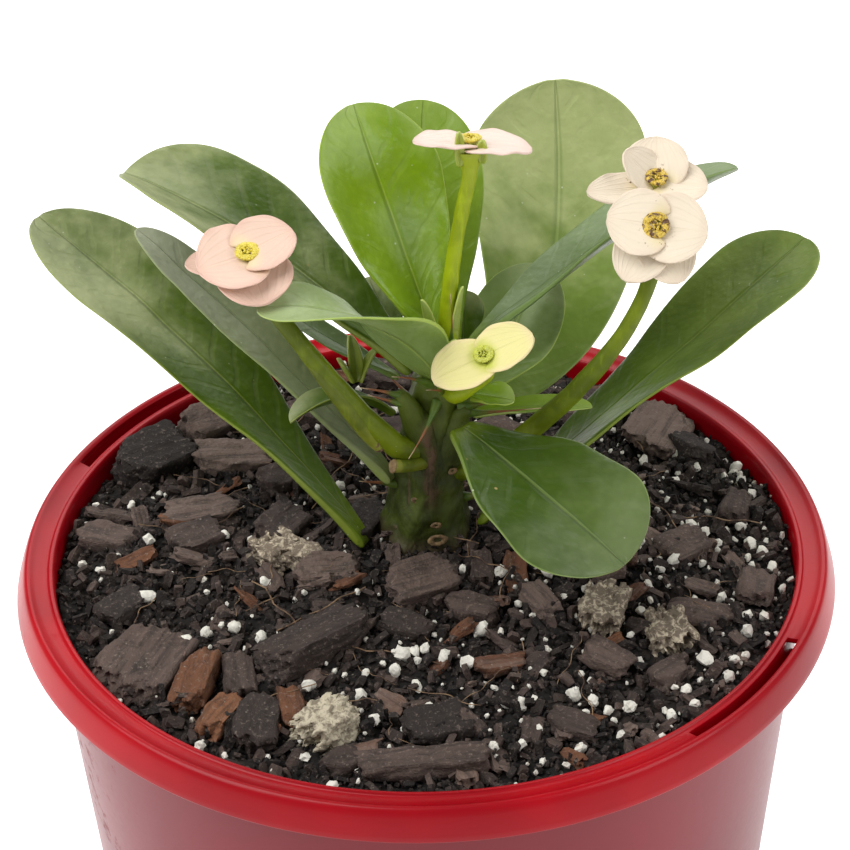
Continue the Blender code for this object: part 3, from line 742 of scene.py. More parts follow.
def closeGround(ground):  # walls and floor of the soil, down inside the pot
    openEdit(ground)
    bpy.ops.mesh.select_mode(type="EDGE")
    bpy.ops.mesh.select_all(action="SELECT")
    bpy.ops.mesh.region_to_loop()
    for radius, height in ((64.0, 112.0), (wallRadius(3.2) - 1.9, 4.2), (50.5, 2.8)):
        bpy.ops.mesh.extrude_edges_move()
        levelRing(ground, radius, height)
    bpy.ops.mesh.extrude_edges_move()
    bpy.ops.mesh.merge(type="CENTER")
    bpy.ops.mesh.select_all(action="SELECT")
    bpy.ops.mesh.normals_make_consistent(inside=False)
    closeEdit()


def levelRing(piece, radius, height):  # sets the picked ring to one radius and height
    form = bmesh.from_edit_mesh(piece.data)
    for vert in form.verts:
        if vert.select:
            flat = Vector((vert.co.x, vert.co.y)).normalized() * radius * mm
            vert.co = (flat.x, flat.y, height * mm)
    bmesh.update_edit_mesh(piece.data)


def mixFinish():
    finish = Finish("mix_soil", roughness=0.92, Specular_IOR_Level=0.3)
    clods = finish.noise(90, detail=4, warp=0.8)
    crumbs = finish.cells(700)
    grit = finish.noise(1500, detail=4, rough=0.7)
    flecks = finish.cells(520).ease(0.14, 0.08) * finish.noise(140).ease(0.52, 0.6)
    colour = finish.mix(clods.ease(0.4, 0.75), groundSetup["black"], groundSetup["brown"])
    colour = finish.mix(grit.ease(0.55, 0.8) * 0.6, colour, groundSetup["grit"])
    colour = finish.mix(crumbs.ease(0.25, 0.6) * 0.7, colour, (0.004, 0.0035, 0.003))
    colour = finish.mix(flecks * 0.5, colour, (0.35, 0.31, 0.25))
    finish.bump((1 - crumbs) * 0.7 + grit * 0.5, 0.0006, 0.8)
    return finish.wear(colour=colour, roughness=0.70 + grit * 0.3)


# bark: slabs broken from a block by cutting planes, with the grain along their length

barkTints = ((0.0, (0.009, 0.0075, 0.007)), (0.22, (0.028, 0.020, 0.017)), (0.40, (0.066, 0.044, 0.036)),
             (0.55, (0.118, 0.080, 0.066)), (0.70, (0.180, 0.128, 0.104)), (0.82, (0.110, 0.042, 0.020)),
             (1.0, (0.23, 0.098, 0.046)))


def barkFinish():
    finish = Finish("bark", roughness=0.85, Specular_IOR_Level=0.35)
    tint = finish.mark("tint")
    u, v = finish.sheet()
    grainAt = finish.gather(u * 90 + tint * 40, v * 900 + tint * 70)
    grain = finish.noise(1.0, detail=5, rough=0.7, warp=0.5, at=grainAt)
    coarse = finish.noise(1.0, detail=3, warp=0.8, at=finish.gather(u * 60 + tint * 90, v * 260))
    patch = finish.noise(210, detail=5, rough=0.7, warp=0.6)
    grit = finish.noise(1300, detail=3, rough=0.7)
    dust = finish.cells(760).ease(0.16, 0.07) * patch.ease(0.50, 0.62)
    colours = finish.node("ShaderNodeValToRGB")
    ramp = colours.color_ramp
    while len(ramp.elements) < len(barkTints):
        ramp.elements.new(0.5)
    for element, (place, colour) in zip(ramp.elements, barkTints):
        element.position = place
        element.color = (*colour, 1)
    join(finish.tree, tint + (coarse - 0.5) * 0.22, colours.inputs[0])
    colour = Wire(finish.tree, colours.outputs[0])
    colour = finish.mix(grain.ease(0.54, 0.36) * 0.50, colour, (0.012, 0.009, 0.007))
    colour = finish.mix(grain.ease(0.60, 0.78) * 0.16, colour, (0.24, 0.18, 0.15))
    colour = finish.mix(patch.ease(0.55, 0.68) * 0.60, colour, (0.016, 0.012, 0.010))
    colour = finish.mix(grit.ease(0.54, 0.74) * 0.55, colour, (0.26, 0.20, 0.165))
    colour = finish.mix(dust * 0.5, colour, (0.42, 0.38, 0.32))
    finish.bump(grain * 0.5 + coarse * 0.6 + patch * 0.7 + grit * 0.6, 0.0008, 0.85)
    return finish.wear(colour=colour, roughness=0.66 + grain * 0.3)


def whiteFinish(name, clean, dirt, amount, stains=260):
    finish = Finish(name, roughness=0.9, Specular_IOR_Level=0.3)
    pits = finish.cells(1500)
    soft = finish.noise(700, detail=3)
    stain = finish.noise(stains, detail=4, rough=0.65, warp=0.5)
    colour = finish.mix(soft.ease(0.3, 0.8) * 0.35, clean, [c * 0.80 for c in clean])
    colour = finish.mix(stain.ease(0.66 - amount * 0.3, 0.84 - amount * 0.3) * 0.8, colour, dirt)
    colour = finish.mix(pits.ease(0.18, 0.05) * 0.35, colour, dirt)
    finish.bump(pits * 0.5 + soft * 0.6, 0.0004, 0.7)
    return finish.wear(colour=colour, roughness=0.82 + soft * 0.15)


def tintPiece(piece, value):
    marks = piece.data.attributes.new("tint", "FLOAT", "POINT")
    marks.data.foreach_set("value", [value] * len(piece.data.vertices))


def breakSlab(name, length, width, height, seed, cuts=6, fine=None, relief=0.5):
    chance = random.Random(seed)
    clearPicks()
    bpy.ops.mesh.primitive_cube_add(size=1)
    slab = named(name)
    bpy.ops.object.mode_set(mode="EDIT")
    bpy.ops.mesh.select_all(action="SELECT")
    grow(length, width, height)
    for cut in range(cuts):  # planes that take off corners and thin the ends
        way = math.radians(360 * (cut + chance.uniform(0.1, 0.9)) / cuts)
        facing = Vector((math.cos(way), math.sin(way), chance.uniform(-0.7, 0.7))).normalized()
        reach = (abs(facing.x) * length + abs(facing.y) * width + abs(facing.z) * height) / 2
        bpy.ops.mesh.select_all(action="SELECT")
        bpy.ops.mesh.bisect(plane_co=facing * reach * chance.uniform(0.62, 0.90), plane_no=facing,
                            use_fill=True, clear_outer=True)
    bpy.ops.mesh.select_all(action="SELECT")
    grow(mm, mm, mm)
    closeEdit()
    if fine:  # close even faces, then relief that runs with the grain
        finishWith(slab, "BEVEL", width=0.0003, segments=1)
        finishWith(slab, "REMESH", mode="VOXEL", voxel_size=fine * mm)
        stretchWithGrain(slab, 0.25)
        wobble(slab, name + "_layers", 0.0011, relief * 0.0016)
        stretchWithGrain(slab, 4.0)
        wobble(slab, name + "_chips", 0.0034, relief * 0.0016)
    openEdit(slab)
    bpy.ops.mesh.select_all(action="SELECT")
    bpy.ops.uv.cube_project(cube_size=1.0, scale_to_bounds=False)
    closeEdit()
    return slab


def stretchWithGrain(piece, share):
    openEdit(piece)
    bpy.ops.mesh.select_all(action="SELECT")
    grow(share, 1, 1)
    closeEdit()


# x, y, length, width, height, yaw, lean, tint, seed; the named ones stand on the mix in the model too
chipSetup = {
    "chip_broad": (-48.2, -28.4, 17, 13.5, 4.2, 68, 6, 0.50, 1),
    "chip_red_long": (-38.8, -33.4, 15, 6.0, 4.0, 78, -8, 0.88, 2),
    "chip_red_short": (-34.6, -42.0, 10, 5.6, 3.6, 62, 4, 0.95, 3),
    "chip_strip": (-1.9, -55.4, 26, 5.6, 3.4, 4, -4, 0.44, 4),
    "chip_ridge": (-19.2, -27.2, 19, 8.6, 5.4, 32, -14, 0.30, 5),
    "chip_speckled": (-0.6, -13.4, 11.5, 9.4, 3.8, 24, 6, 0.55, 6),
    "chip_wedge": (-17.2, -9.2, 10.4, 8.4, 3.4, 12, 8, 0.60, 7),
    "chip_left_flat": (-34.6, 31.0, 15, 7.0, 3.0, 4, 8, 0.66, 8),
    "chip_left_side": (-39.4, 13.4, 13.0, 6.6, 3.0, 16, 4, 0.62, 9),
    "chip_right_flat": (43.4, 37.4, 13.6, 11.0, 3.2, 66, 12, 0.66, 10),
    "chip_grey": (1.2, -46.4, 10.4, 8.2, 3.6, 20, 4, 0.20, 11),
}
looseChips = (
    (-31.5, -33, 12, 5.4, 3.4, 96, 10, 0.42, 21), (-22.6, -41, 11, 4.0, 3.6, 100, 0, 0.84, 22),
    (-28.4, -45.4, 12.4, 7.6, 4.6, 86, 10, 0.26, 23), (-11, 4.4, 13, 5.6, 4.0, 76, 20, 0.22, 24),
    (7.5, -19.5, 8.4, 5.4, 3.0, -14, 6, 0.46, 25), (19.4, -17.6, 8.0, 4.8, 3.0, -60, 4, 0.62, 26),
    (30, -30.4, 8.4, 5.4, 3.0, -38, 6, 0.56, 27), (-40.4, 5.6, 9.0, 7.0, 3.0, 30, 4, 0.40, 28),
    (-56.2, 8.4, 10.4, 6.2, 3.2, -12, 6, 0.52, 29), (-25, 5.4, 10, 7.4, 4.0, 60, 12, 0.34, 30),
    (-49, 30, 14, 12, 6.6, 40, 8, 0.16, 31), (-38.4, 42.4, 14, 7.4, 6.0, 42, 24, 0.58, 32),
    (45.2, 0.4, 9.0, 7.6, 3.0, 40, 8, 0.50, 33), (56.8, -11, 9.4, 6.4, 3.2, 80, 14, 0.52, 34),
    (46.4, -18.6, 10.5, 5.4, 3.0, -10, 6, 0.50, 35), (49.0, 30.4, 9.4, 6.0, 4.0, 118, 20, 0.18, 36),
    (33.0, 44.6, 10.0, 6.0, 4.0, -36, 0, 0.30, 37), (-31.4, 46.4, 12.0, 7.0, 4.6, 30, 12, 0.40, 38),
    (-18.6, 44.0, 12.0, 6.4, 4.0, -20, 8, 0.46, 39), (-24.0, 22.0, 11.0, 6.4, 3.4, 34, 8, 0.36, 40),
    (-6.0, 34.0, 13.0, 7.0, 4.0, 12, 6, 0.42, 41), (14.6, 33.0, 11.0, 7.0, 4.0, -34, 8, 0.50, 42),
    (26.0, 27.0, 12.0, 6.0, 4.0, 60, 10, 0.38, 43), (8.0, 50.0, 14.0, 7.0, 4.4, 8, 12, 0.56, 44),
    (-5.0, 56.0, 10.0, 6.0, 4.0, -14, 10, 0.34, 45), (22.0, 12.0, 9.0, 5.4, 3.0, -30, 6, 0.44, 46),
    (31.4, -7.4, 8.0, 5.0, 3.0, 20, 6, 0.60, 47), (55.4, 13.0, 8.4, 5.4, 3.2, 76, 10, 0.42, 48),
    (-13.6, -54.2, 8.0, 5.0, 3.2, 22, 8, 0.34, 49), (-52.4, -12.0, 9.0, 5.6, 3.0, 50, 4, 0.24, 50),
    (24.0, -47.0, 9.0, 5.0, 3.0, -24, 6, 0.36, 51), (12.0, -33.0, 8.0, 4.0, 2.6, 12, 4, 0.80, 52),
    (-3.4, -23.6, 8.4, 5.0, 3.0, -28, 8, 0.26, 53), (40.0, -33.8, 7.4, 5.0, 3.0, 44, 6, 0.46, 54),
)


def layOn(piece, x, y, height, yaw, lean):
    ground = groundHeight(math.hypot(x, y)) + 0.9
    piece.location = Vector((x, y, ground + height * 0.22)) * mm
    piece.rotation_euler = (math.radians(lean), math.radians(lean * 0.4), math.radians(yaw))


def layChips(finish):
    for name, (x, y, length, width, height, yaw, lean, tint, seed) in chipSetup.items():
        slab = breakSlab(name + "_bark", length, width, height, seed, cuts=6, fine=0.42)
        tintPiece(slab, tint)
        layOn(slab, x, y, height, yaw, lean)
        settle(slab, [finish], [name], angle=60)
    loose = []
    for x, y, length, width, height, yaw, lean, tint, seed in looseChips:
        slab = breakSlab("loose_%d" % seed, length, width, height, seed, cuts=6, fine=0.55)
        tintPiece(slab, tint)
        layOn(slab, x, y, height, yaw, lean)
        loose.append(slab)
    settle(joinAll("bark_lumps", loose), [finish], angle=60)


# small loose pieces: a few kinds are modelled, then strewn over the ground


def makeCrumb(name, size, seed, flat=0.8, rounds=1):
    chance = random.Random(seed)
    clearPicks()
    bpy.ops.mesh.primitive_ico_sphere_add(subdivisions=rounds, radius=size / 2 * mm)
    crumb = named(name)
    bpy.ops.object.mode_set(mode="EDIT")
    bpy.ops.mesh.select_all(action="SELECT")
    grow(1.15, chance.uniform(0.7, 1.0), flat * chance.uniform(0.8, 1.0))
    bpy.ops.transform.vertex_random(offset=size * 0.16 * mm, seed=seed)
    bpy.ops.uv.cube_project(cube_size=1.0, scale_to_bounds=False)
    closeEdit()
    return crumb


def makeFibre(name, length, seed, thickness=0.12):
    chance = random.Random(seed)
    points = [Vector((length * (k / 7 - 0.5), chance.uniform(-1, 1) * length * 0.09,
                      0.3 + chance.uniform(0, 1) * length * 0.05)) for k in range(8)]
    fibre = drawTube(name, points, [thickness] * 8, sides=2)
    return fibre


def strew(name, ground, kinds, finishes, gap, sizes, seed, sink=(0, 0), lean=0.5,
          tints=(0, 1), side=None, patchy=None, reach=1.0):
    box = bpy.data.collections.new(name + "_kinds")
    for kind in kinds:
        box.objects.link(kind)
    tree = bpy.data.node_groups.new(name, "GeometryNodeTree")
    tree.interface.new_socket("Geometry", in_out="INPUT", socket_type="NodeSocketGeometry")
    tree.interface.new_socket("Geometry", in_out="OUTPUT", socket_type="NodeSocketGeometry")
    add, link = tree.nodes.new, tree.links.new
    start, end = add("NodeGroupInput"), add("NodeGroupOutput")
    spread = add("GeometryNodeDistributePointsOnFaces")
    spread.distribute_method = "POISSON"
    spread.inputs["Distance Min"].default_value = gap * mm
    spread.inputs["Density Max"].default_value = 0.9e6 / gap ** 2
    spread.inputs["Seed"].default_value = seed
    link(start.outputs[0], spread.inputs["Mesh"])
    link(thinOut(tree, side, patchy, seed), spread.inputs["Density Factor"])
    lift = add("GeometryNodeSetPosition")
    link(spread.outputs["Points"], lift.inputs["Geometry"])
    link(chanceOf(tree, (0, 0, sink[0] * mm), (0, 0, sink[1] * mm), seed + 1), lift.inputs["Offset"])
    pieces = add("GeometryNodeCollectionInfo")
    pieces.inputs["Collection"].default_value = box
    pieces.inputs["Separate Children"].default_value = True
    pieces.inputs["Reset Children"].default_value = True
    copies = add("GeometryNodeInstanceOnPoints")
    copies.inputs["Pick Instance"].default_value = True
    link(lift.outputs[0], copies.inputs["Points"])
    link(pieces.outputs[0], copies.inputs["Instance"])
    link(chanceOf(tree, (-lean, -lean, -3.14), (lean, lean, 3.14), seed + 2), copies.inputs["Rotation"])
    link(chanceOf(tree, *sizes, seed + 3), copies.inputs["Scale"])
    stamp = add("GeometryNodeStoreNamedAttribute")
    stamp.domain = "INSTANCE"
    stamp.inputs["Name"].default_value = "tint"
    link(copies.outputs[0], stamp.inputs["Geometry"])
    link(chanceOf(tree, *tints, seed + 4), stamp.inputs["Value"])
    solid = add("GeometryNodeRealizeInstances")
    link(stamp.outputs[0], solid.inputs[0])
    link(solid.outputs[0], end.inputs[0])
    host = ground.copy()
    host.data = ground.data.copy()
    bpy.context.scene.collection.objects.link(host)
    host.name = host.data.name = name
    clearPicks()
    host.select_set(True)
    host.scale = (reach, reach, 1)  # larger pieces keep clear of the wall
    bpy.ops.object.transform_apply(location=False, rotation=False, scale=True)
    finishWith(host, "NODES", node_group=tree)
    for kind in kinds:
        bpy.data.objects.remove(kind)
    bpy.data.collections.remove(box)
    settle(host, finishes, angle=32)
    print(name + ":", len(host.data.polygons), "faces")


def chanceOf(tree, low, high, seed):  # a random number or vector for every point
    node = tree.nodes.new("FunctionNodeRandomValue")
    vector = isinstance(low, tuple)
    node.data_type = "FLOAT_VECTOR" if vector else "FLOAT"
    first = 0 if vector else 2
    node.inputs[first].default_value = low
    node.inputs[first + 1].default_value = high
    node.inputs["Seed"].default_value = seed
    return node.outputs[0 if vector else 1]


def thinOut(tree, side, patchy, seed):  # fewer pieces to one side, or in patches
    place = tree.nodes.new("GeometryNodeInputPosition")
    if patchy:
        noise = tree.nodes.new("ShaderNodeTexNoise")
        noise.inputs["Scale"].default_value = patchy[0]
        tree.links.new(place.outputs[0], noise.inputs["Vector"])
        source, low, high = noise.outputs["Fac"], patchy[1], patchy[2]
    else:
        parts = tree.nodes.new("ShaderNodeSeparateXYZ")
        tree.links.new(place.outputs[0], parts.inputs[0])
        source, low, high = parts.outputs[0], *(side or (-9.0, -8.0))
    ranged = tree.nodes.new("ShaderNodeMapRange")
    tree.links.new(source, ranged.inputs[0])
    ranged.inputs[1].default_value = low
    ranged.inputs[2].default_value = high
    return ranged.outputs[0]


perlitePlaces = (
    (-48.2, -9.9, 1.5), (-40.8, -22.6, 1.3), (-37.6, -21.0, 1.0), (-32.6, -20.5, 1.3), (-28.1, -23.7, 1.2),
    (-19.8, -36.3, 1.1), (-11.1, -39.5, 1.2), (-5.5, -33.9, 1.2), (-4.3, -30.3, 1.4), (-2.1, -29.7, 1.0),
    (-14.9, 17.1, 1.0), (-8.4, 7.1, 1.0), (-60.0, 0.6, 0.9), (-56.8, -1.1, 0.8), (-36.9, -41.9, 0.9),
    (9.0, -25.0, 1.4), (-0.4, -29.3, 1.0), (2.7, -31.0, 1.2), (6.6, -32.5, 1.2), (15.3, -42.1, 1.2),
    (24.2, -39.6, 1.2), (27.1, -41.0, 1.0), (29.5, -43.4, 1.0), (21.0, -10.0, 1.0), (12.8, -10.4, 1.2),
    (37.9, 1.7, 1.0), (36.6, -18.4, 1.0), (42.8, -38.0, 1.0), (56.6, 25.4, 1.2), (54.1, 21.8, 1.0),
    (57.0, 20.8, 1.2), (47.1, 6.7, 1.2), (49.3, 5.1, 1.0), (57.2, 1.6, 1.4), (58.8, -1.0, 1.3),
    (55.7, 6.9, 1.0), (46.6, -30.3, 1.4), (51.4, -30.2, 1.0), (43.1, -4.1, 1.2), (31.3, -49.2, 1.0),
    (14.8, -51.4, 1.0), (54.5, -18.4, 1.0), (61.4, -11.1, 0.8), (-52.4, 17.7, 0.8), (-35.1, 5.4, 0.8),
)


def layPerlite(finish):  # the larger white lumps, each where it lies
    lumps = []
    for number, (x, y, radius) in enumerate(perlitePlaces):
        lump = makeCrumb("lump_%d" % number, radius * 2, 60 + number, flat=0.9, rounds=2)
        lump.location = Vector((x, y, groundHeight(math.hypot(x, y)) + 1.5)) * mm
        lump.rotation_euler = (0.3 * number, 0.7 * number, 1.9 * number)
        lumps.append(lump)
    pile = joinAll("perlite_lumps", lumps)
    wobble(pile, "perlite_shape", 0.0011, 0.0006)
    settle(pile, [finish], angle=45)


def layPumice():
    clearPicks()
    lump = breakSlab("pumice_rock", 9.4, 8.6, 6.4, 12, cuts=8, fine=0.3, relief=0.9)
    wobble(lump, "pumice_pits", 0.0017, 0.0010)
    wobble(lump, "pumice_grains", 0.0005, 0.0004)
    tintPiece(lump, 0.6)
    layOn(lump, -16.6, -47.6, 7.5, 40, 0)
    crust = whiteFinish("pumice_crust", (0.52, 0.46, 0.34), (0.13, 0.10, 0.07), 0.75, stains=780)
    settle(lump, [crust], ["pumice_lump"], angle=70)
    crusty = []
    for number, (x, y, length, width) in enumerate(((30, -18.6, 7.4, 10.0), (40.5, -23.6, 7.6, 8.6),
                                                    (-25.6, -1.6, 8.0, 8.0), (-21.8, -4.0, 5.0, 6.0))):
        rock = breakSlab("crust_%d" % number, width, length, 4.0, 80 + number, cuts=7, fine=0.35, relief=1.0)
        wobble(rock, "crust_pits_%d" % number, 0.0018, 0.0011)
        wobble(rock, "crust_grains_%d" % number, 0.0005, 0.0004)
        layOn(rock, x, y, 4.4, 75 + number * 30, 0)
        crusty.append(rock)
    pale = whiteFinish("crust_pale", (0.54, 0.46, 0.34), (0.075, 0.050, 0.036), 1.0, stains=900)
    settle(joinAll("crusty_lumps", crusty), [pale], angle=70)


def fillPot():
    ground = raiseGround()
    bark = barkFinish()
    white = whiteFinish("perlite", (0.73, 0.70, 0.62), (0.34, 0.28, 0.20), 0.3)
    crumbs = [makeCrumb("crumb_%d" % k, 1.0, k) for k in range(6)]
    strew("mix_crumbs", ground, crumbs, [bark], 0.85, (0.6, 1.6), 3, (-0.3, 0.7), 3.0, (0.0, 0.26))
    bits = [breakSlab("bit_%d" % k, 2.6, 1.3, 0.7, 100 + k, cuts=4) for k in range(8)]
    strew("bark_bits", ground, bits, [bark], 1.7, (0.5, 1.5), 5, (0.1, 1.2), 1.4, (0.02, 0.52), reach=0.98)
    flakes = [breakSlab("flake_%d" % k, 6.4, 3.4, 1.5, 140 + k, cuts=5, fine=0.62, relief=0.7) for k in range(7)]
    strew("bark_flakes", ground, flakes, [bark], 5.6, (0.55, 1.25), 8, (0.4, 1.6), 0.6, (0.15, 0.92), reach=0.93)
    grains = [makeCrumb("grain_%d" % k, 1.0, 30 + k, 0.95) for k in range(5)]
    strew("perlite_grains", ground, grains, [white], 2.0, (0.5, 1.5), 11, (0.5, 1.2), 3.0, (0, 1), side=(-0.09, 0.10))
    beads = [makeCrumb("bead_%d" % k, 2.1, 40 + k, 0.9, rounds=2) for k in range(5)]
    strew("perlite_beads", ground, beads, [white], 4.3, (0.6, 1.2), 14, (0.8, 1.5), 3.0, (0, 1), side=(-0.05, 0.06), reach=0.97)
    fibres = [makeFibre("fibre_%d" % k, 9 + 2 * k, 50 + k, 0.06 + 0.012 * k) for k in range(5)]
    root = rootFinish()
    strew("fine_roots", ground, fibres, [root], 6.5, (0.4, 1.2), 17, (1.2, 2.4), 0.35, (0, 1), reach=0.84)
    layChips(bark)
    layPerlite(white)
    layPumice()
    closeGround(ground)
    settle(ground, [mixFinish()], ["potting_mix"], angle=80)
    print("potting mix: ground, bark, perlite and roots")


def rootFinish():
    finish = Finish("root_fibre", roughness=0.7)
    tone = finish.noise(420, detail=2)
    colour = finish.mix(tone.ease(0.35, 0.65), (0.06, 0.030, 0.015), (0.26, 0.16, 0.085))
    finish.bump(finish.noise(2600, detail=2), 0.0001, 0.5)
    return finish.wear(colour=colour, roughness=0.6 + tone * 0.2)


fillPot()

# flowers: papery bracts round a small cup of glands

# centre, direction the face points in, tilt, size of the eye; then the bracts:
# clock angle, length, width, height over the face, lift, curl, where the foot starts, and
# how far the sides sweep back round the eye
flowerSetup = {
    "left": dict(centre=(-27.8, -2.0, 184.8), toward=-100, tilt=14, eye=2.0, tone="pink", bracts={
        "upper_right": (126, 8.2, 12.6, 1.3, 12, 12, 0.3, 2.4), "upper_left": (-60, 8.4, 15.6, 0.5, 8, 14, 0.2, 3.2),
        "under_front": (26, 8.8, 13.0, -0.7, -2, 6, 0.9), "under_left": (-84, 9.6, 7.4, -0.8, 0, 4, 1.0)}),
    "top": dict(centre=(8.9, 6.0, 200.0), toward=90, tilt=12, eye=2.0, tone="blush", bracts={
        "right": (-84, 9.4, 13.6, 0.2, 0, 12, 0.9, 2.6), "left": (98, 8.6, 9.4, 0.9, 8, 4, 0.8)}),
    "right_front": dict(centre=(39.2, 1.0, 187.0), toward=-94, tilt=44, eye=2.2, tone="cream", bracts={
        "left": (-98, 8.0, 11.6, 1.3, 10, 14, 0.2, 2.6), "right": (84, 8.4, 12.4, 0.4, 8, 12, 0.2, 2.8),
        "under_left": (-30, 9.4, 9.6, -0.6, 2, 8, 0.8), "under_right": (26, 9.0, 9.8, -1.2, 2, 8, 0.8)}),
    "right_back": dict(centre=(39.7, 9.4, 190.4), toward=-80, tilt=20, eye=1.8, tone="cream", bracts={
        "top": (168, 7.4, 10.8, 0.8, 20, 10, 0.8), "right": (74, 7.8, 10.0, 0.4, 6, 8, 0.8),
        "left": (-128, 6.8, 8.0, 0.6, 40, 6, 0.8), "far_left": (-92, 8.8, 6.8, -0.9, 4, 6, 2.8)}),
    "front": dict(centre=(10.6, -8.4, 168.0), toward=-110, tilt=22, eye=1.7, tone="lemon", bracts={
        "left": (-50, 8.6, 10.2, 0.5, 6, 16, 0.8, 2.6), "right": (126, 8.0, 9.6, 0.9, 16, 16, 0.9, 2.4)}),
}

bractTones = {  # heart, middle and edge of a bract
    "pink": ((0.73, 0.59, 0.36), (0.70, 0.50, 0.39), (0.68, 0.42, 0.33)),
    "blush": ((0.78, 0.65, 0.46), (0.78, 0.63, 0.54), (0.75, 0.52, 0.44)),
    "cream": ((0.74, 0.63, 0.37), (0.76, 0.66, 0.515), (0.74, 0.60, 0.46)),
    "lemon": ((0.48, 0.53, 0.05), (0.70, 0.64, 0.27), (0.74, 0.60, 0.34)),
}


def bractFinish(name, tone, stained):
    heart, middle, rim = bractTones[tone]
    finish = Finish(name, roughness=0.55, Specular_IOR_Level=0.35, Sheen_Weight=0.12)
    along, cross = finish.sheet()
    across = abs(cross * 2 - 1)
    share = 1 - (1 - along) ** tipCrowding
    flush = finish.noise(230, detail=3, warp=0.7)
    fans = ((across * 21 + flush * 2) * (0.6 + share)).sine().ease(0.2, 1.0)
    edge = across.most(share).ease(0.74, 1.0)
    colour = finish.mix((share + flush * 0.12).ease(0.06, 0.36), heart, middle)
    colour = finish.mix(edge * (0.35 + flush * 0.5), colour, rim)
    colour = finish.mix(fans * 0.10 * share, colour, rim)
    colour = finish.mix(across.ease(0.06, 0.0) * 0.12, colour, heart)
    if stained:  # brown pollen crumbs near the foot
        crumbs = finish.cells(1700).ease(0.34, 0.22) * finish.noise(520).ease(0.55, 0.62)
        colour = finish.mix(crumbs * share.ease(0.44, 0.10), colour, (0.12, 0.050, 0.008))
    finish.bump(fans * 0.35 + flush * 1.1 - across.ease(0.05, 0.0) * 0.6, 0.00025, 0.5)
    return finish.wear(colour=colour, roughness=0.48 + flush * 0.2)


def faceMatrix(flower):
    return (Matrix.Translation(Vector(flower["centre"]) * mm)
            @ Matrix.Rotation(math.radians(flower["toward"]), 4, "Z")
            @ Matrix.Rotation(math.radians(flower["tilt"]), 4, "Y"))


def growBract(name, flower, numbers, finish, standsFor):
    clock, length, width, height, lift, curl, foot = numbers[:7]
    shape = dict(length=length, width=width, rise=(lift, lift - curl), roll=(0, 0), turned=0, cup=0.10,
                 fold=0.02, neck=0.46, belly=0.50, swell=0.62, sweep=numbers[7] if len(numbers) > 7 else 2.2, wave=0.22, stalkWeight=0.4)
    bract = shapeBlade(name, shape, rows=14, columns=10)
    wobble(bract, name + "_cloud", 0.0042, 0.0006)
    finishWith(bract, "SOLIDIFY", thickness=0.0007, offset=0, vertex_group="thickness",
               thickness_vertex_group=0.5)
    finishWith(bract, "SUBSURF", levels=2, render_levels=2)
    bract.matrix_world = (faceMatrix(flower) @ Matrix.Rotation(math.radians(clock), 4, "Z")
                          @ Matrix.Translation(Vector((foot, 0, height)) * mm))
    settle(bract, [finish], standsFor, angle=80)


def glandFinish(name, yellow, dark, amount):
    finish = Finish(name, roughness=0.35, Coat_Weight=0.3, Coat_Roughness=0.2)
    blotch = finish.noise(900, detail=3, warp=0.6)
    grain = finish.cells(3200)
    colour = finish.mix(blotch.ease(0.35, 0.7) * 0.6, yellow, [c * 0.62 for c in yellow])
    colour = finish.mix(grain.ease(0.10, 0.5) * 0.25, colour, (0.80, 0.74, 0.20))
    colour = finish.mix(finish.noise(760, detail=4, rough=0.65, warp=0.7).ease(0.68 - amount, 0.76 - amount), colour, dark)
    finish.bump(grain * 0.7 + blotch * 0.6, 0.0004, 0.9)
    return finish.wear(colour=colour, roughness=0.34 + blotch * 0.25)


def growEye(name, flower, finish, cupFinish):
    size = flower["eye"]
    clearPicks()
    bpy.ops.mesh.primitive_circle_add(vertices=20, radius=size * 0.5 * mm, location=(0, 0, -1.1 * mm))
    cup = named("eye_cup")
    bpy.ops.object.transform_apply(location=True)
    bpy.ops.object.mode_set(mode="EDIT")
    bpy.ops.mesh.select_all(action="SELECT")
    bpy.ops.mesh.edge_face_add()
    old = 0.5
    for radius, rise in ((0.62, 0.9), (0.74, 1.1), (0.84, 0.8), (0.64, 0.05), (0.50, -0.5), (0.2, -0.1)):
        bpy.ops.mesh.extrude_region_move(TRANSFORM_OT_translate={"value": (0, 0, rise * mm)})
        grow(radius / old, radius / old, 1)
        old = radius
    closeEdit()
    cup.data.materials.append(cupFinish)
    parts = [cup]
    for number in range(5):  # five kidney-shaped glands stand round the cup
        bpy.ops.mesh.primitive_uv_sphere_add(segments=14, ring_count=8, radius=size * 0.50 * mm)
        gland = named("gland")
        bpy.ops.object.mode_set(mode="EDIT")
        bpy.ops.mesh.select_all(action="SELECT")
        grow(0.72, 1.30, 0.42)
        shift(size * 0.70 * mm, 0, 1.80 * mm)
        turn(72 * number + 10, "Z")
        closeEdit()
        gland.data.materials.append(finish)
        parts.append(gland)
    for number in range(9):  # stamens crowd in the middle
        bpy.ops.mesh.primitive_ico_sphere_add(subdivisions=2, radius=size * 0.13 * mm)
        anther = named("anther")
        reach = size * 0.36 * math.sqrt(number / 8)
        way = number * 2.4
        anther.location = (reach * math.cos(way) * mm, reach * math.sin(way) * mm,
                           (1.80 + 0.16 * (number % 3)) * mm)
        anther.data.materials.append(finish)
        parts.append(anther)
    eye = joinAll("eye_%s_cup" % name, parts)
    finishWith(eye, "SUBSURF", levels=1, render_levels=1)
    wobble(eye, name + "_eye_cloud", 0.0009, 0.00022)
    eye.matrix_world = faceMatrix(flower)
    settle(eye, None, ["eye_" + name], angle=80)


stainedBracts = ("right_front", "right_back")


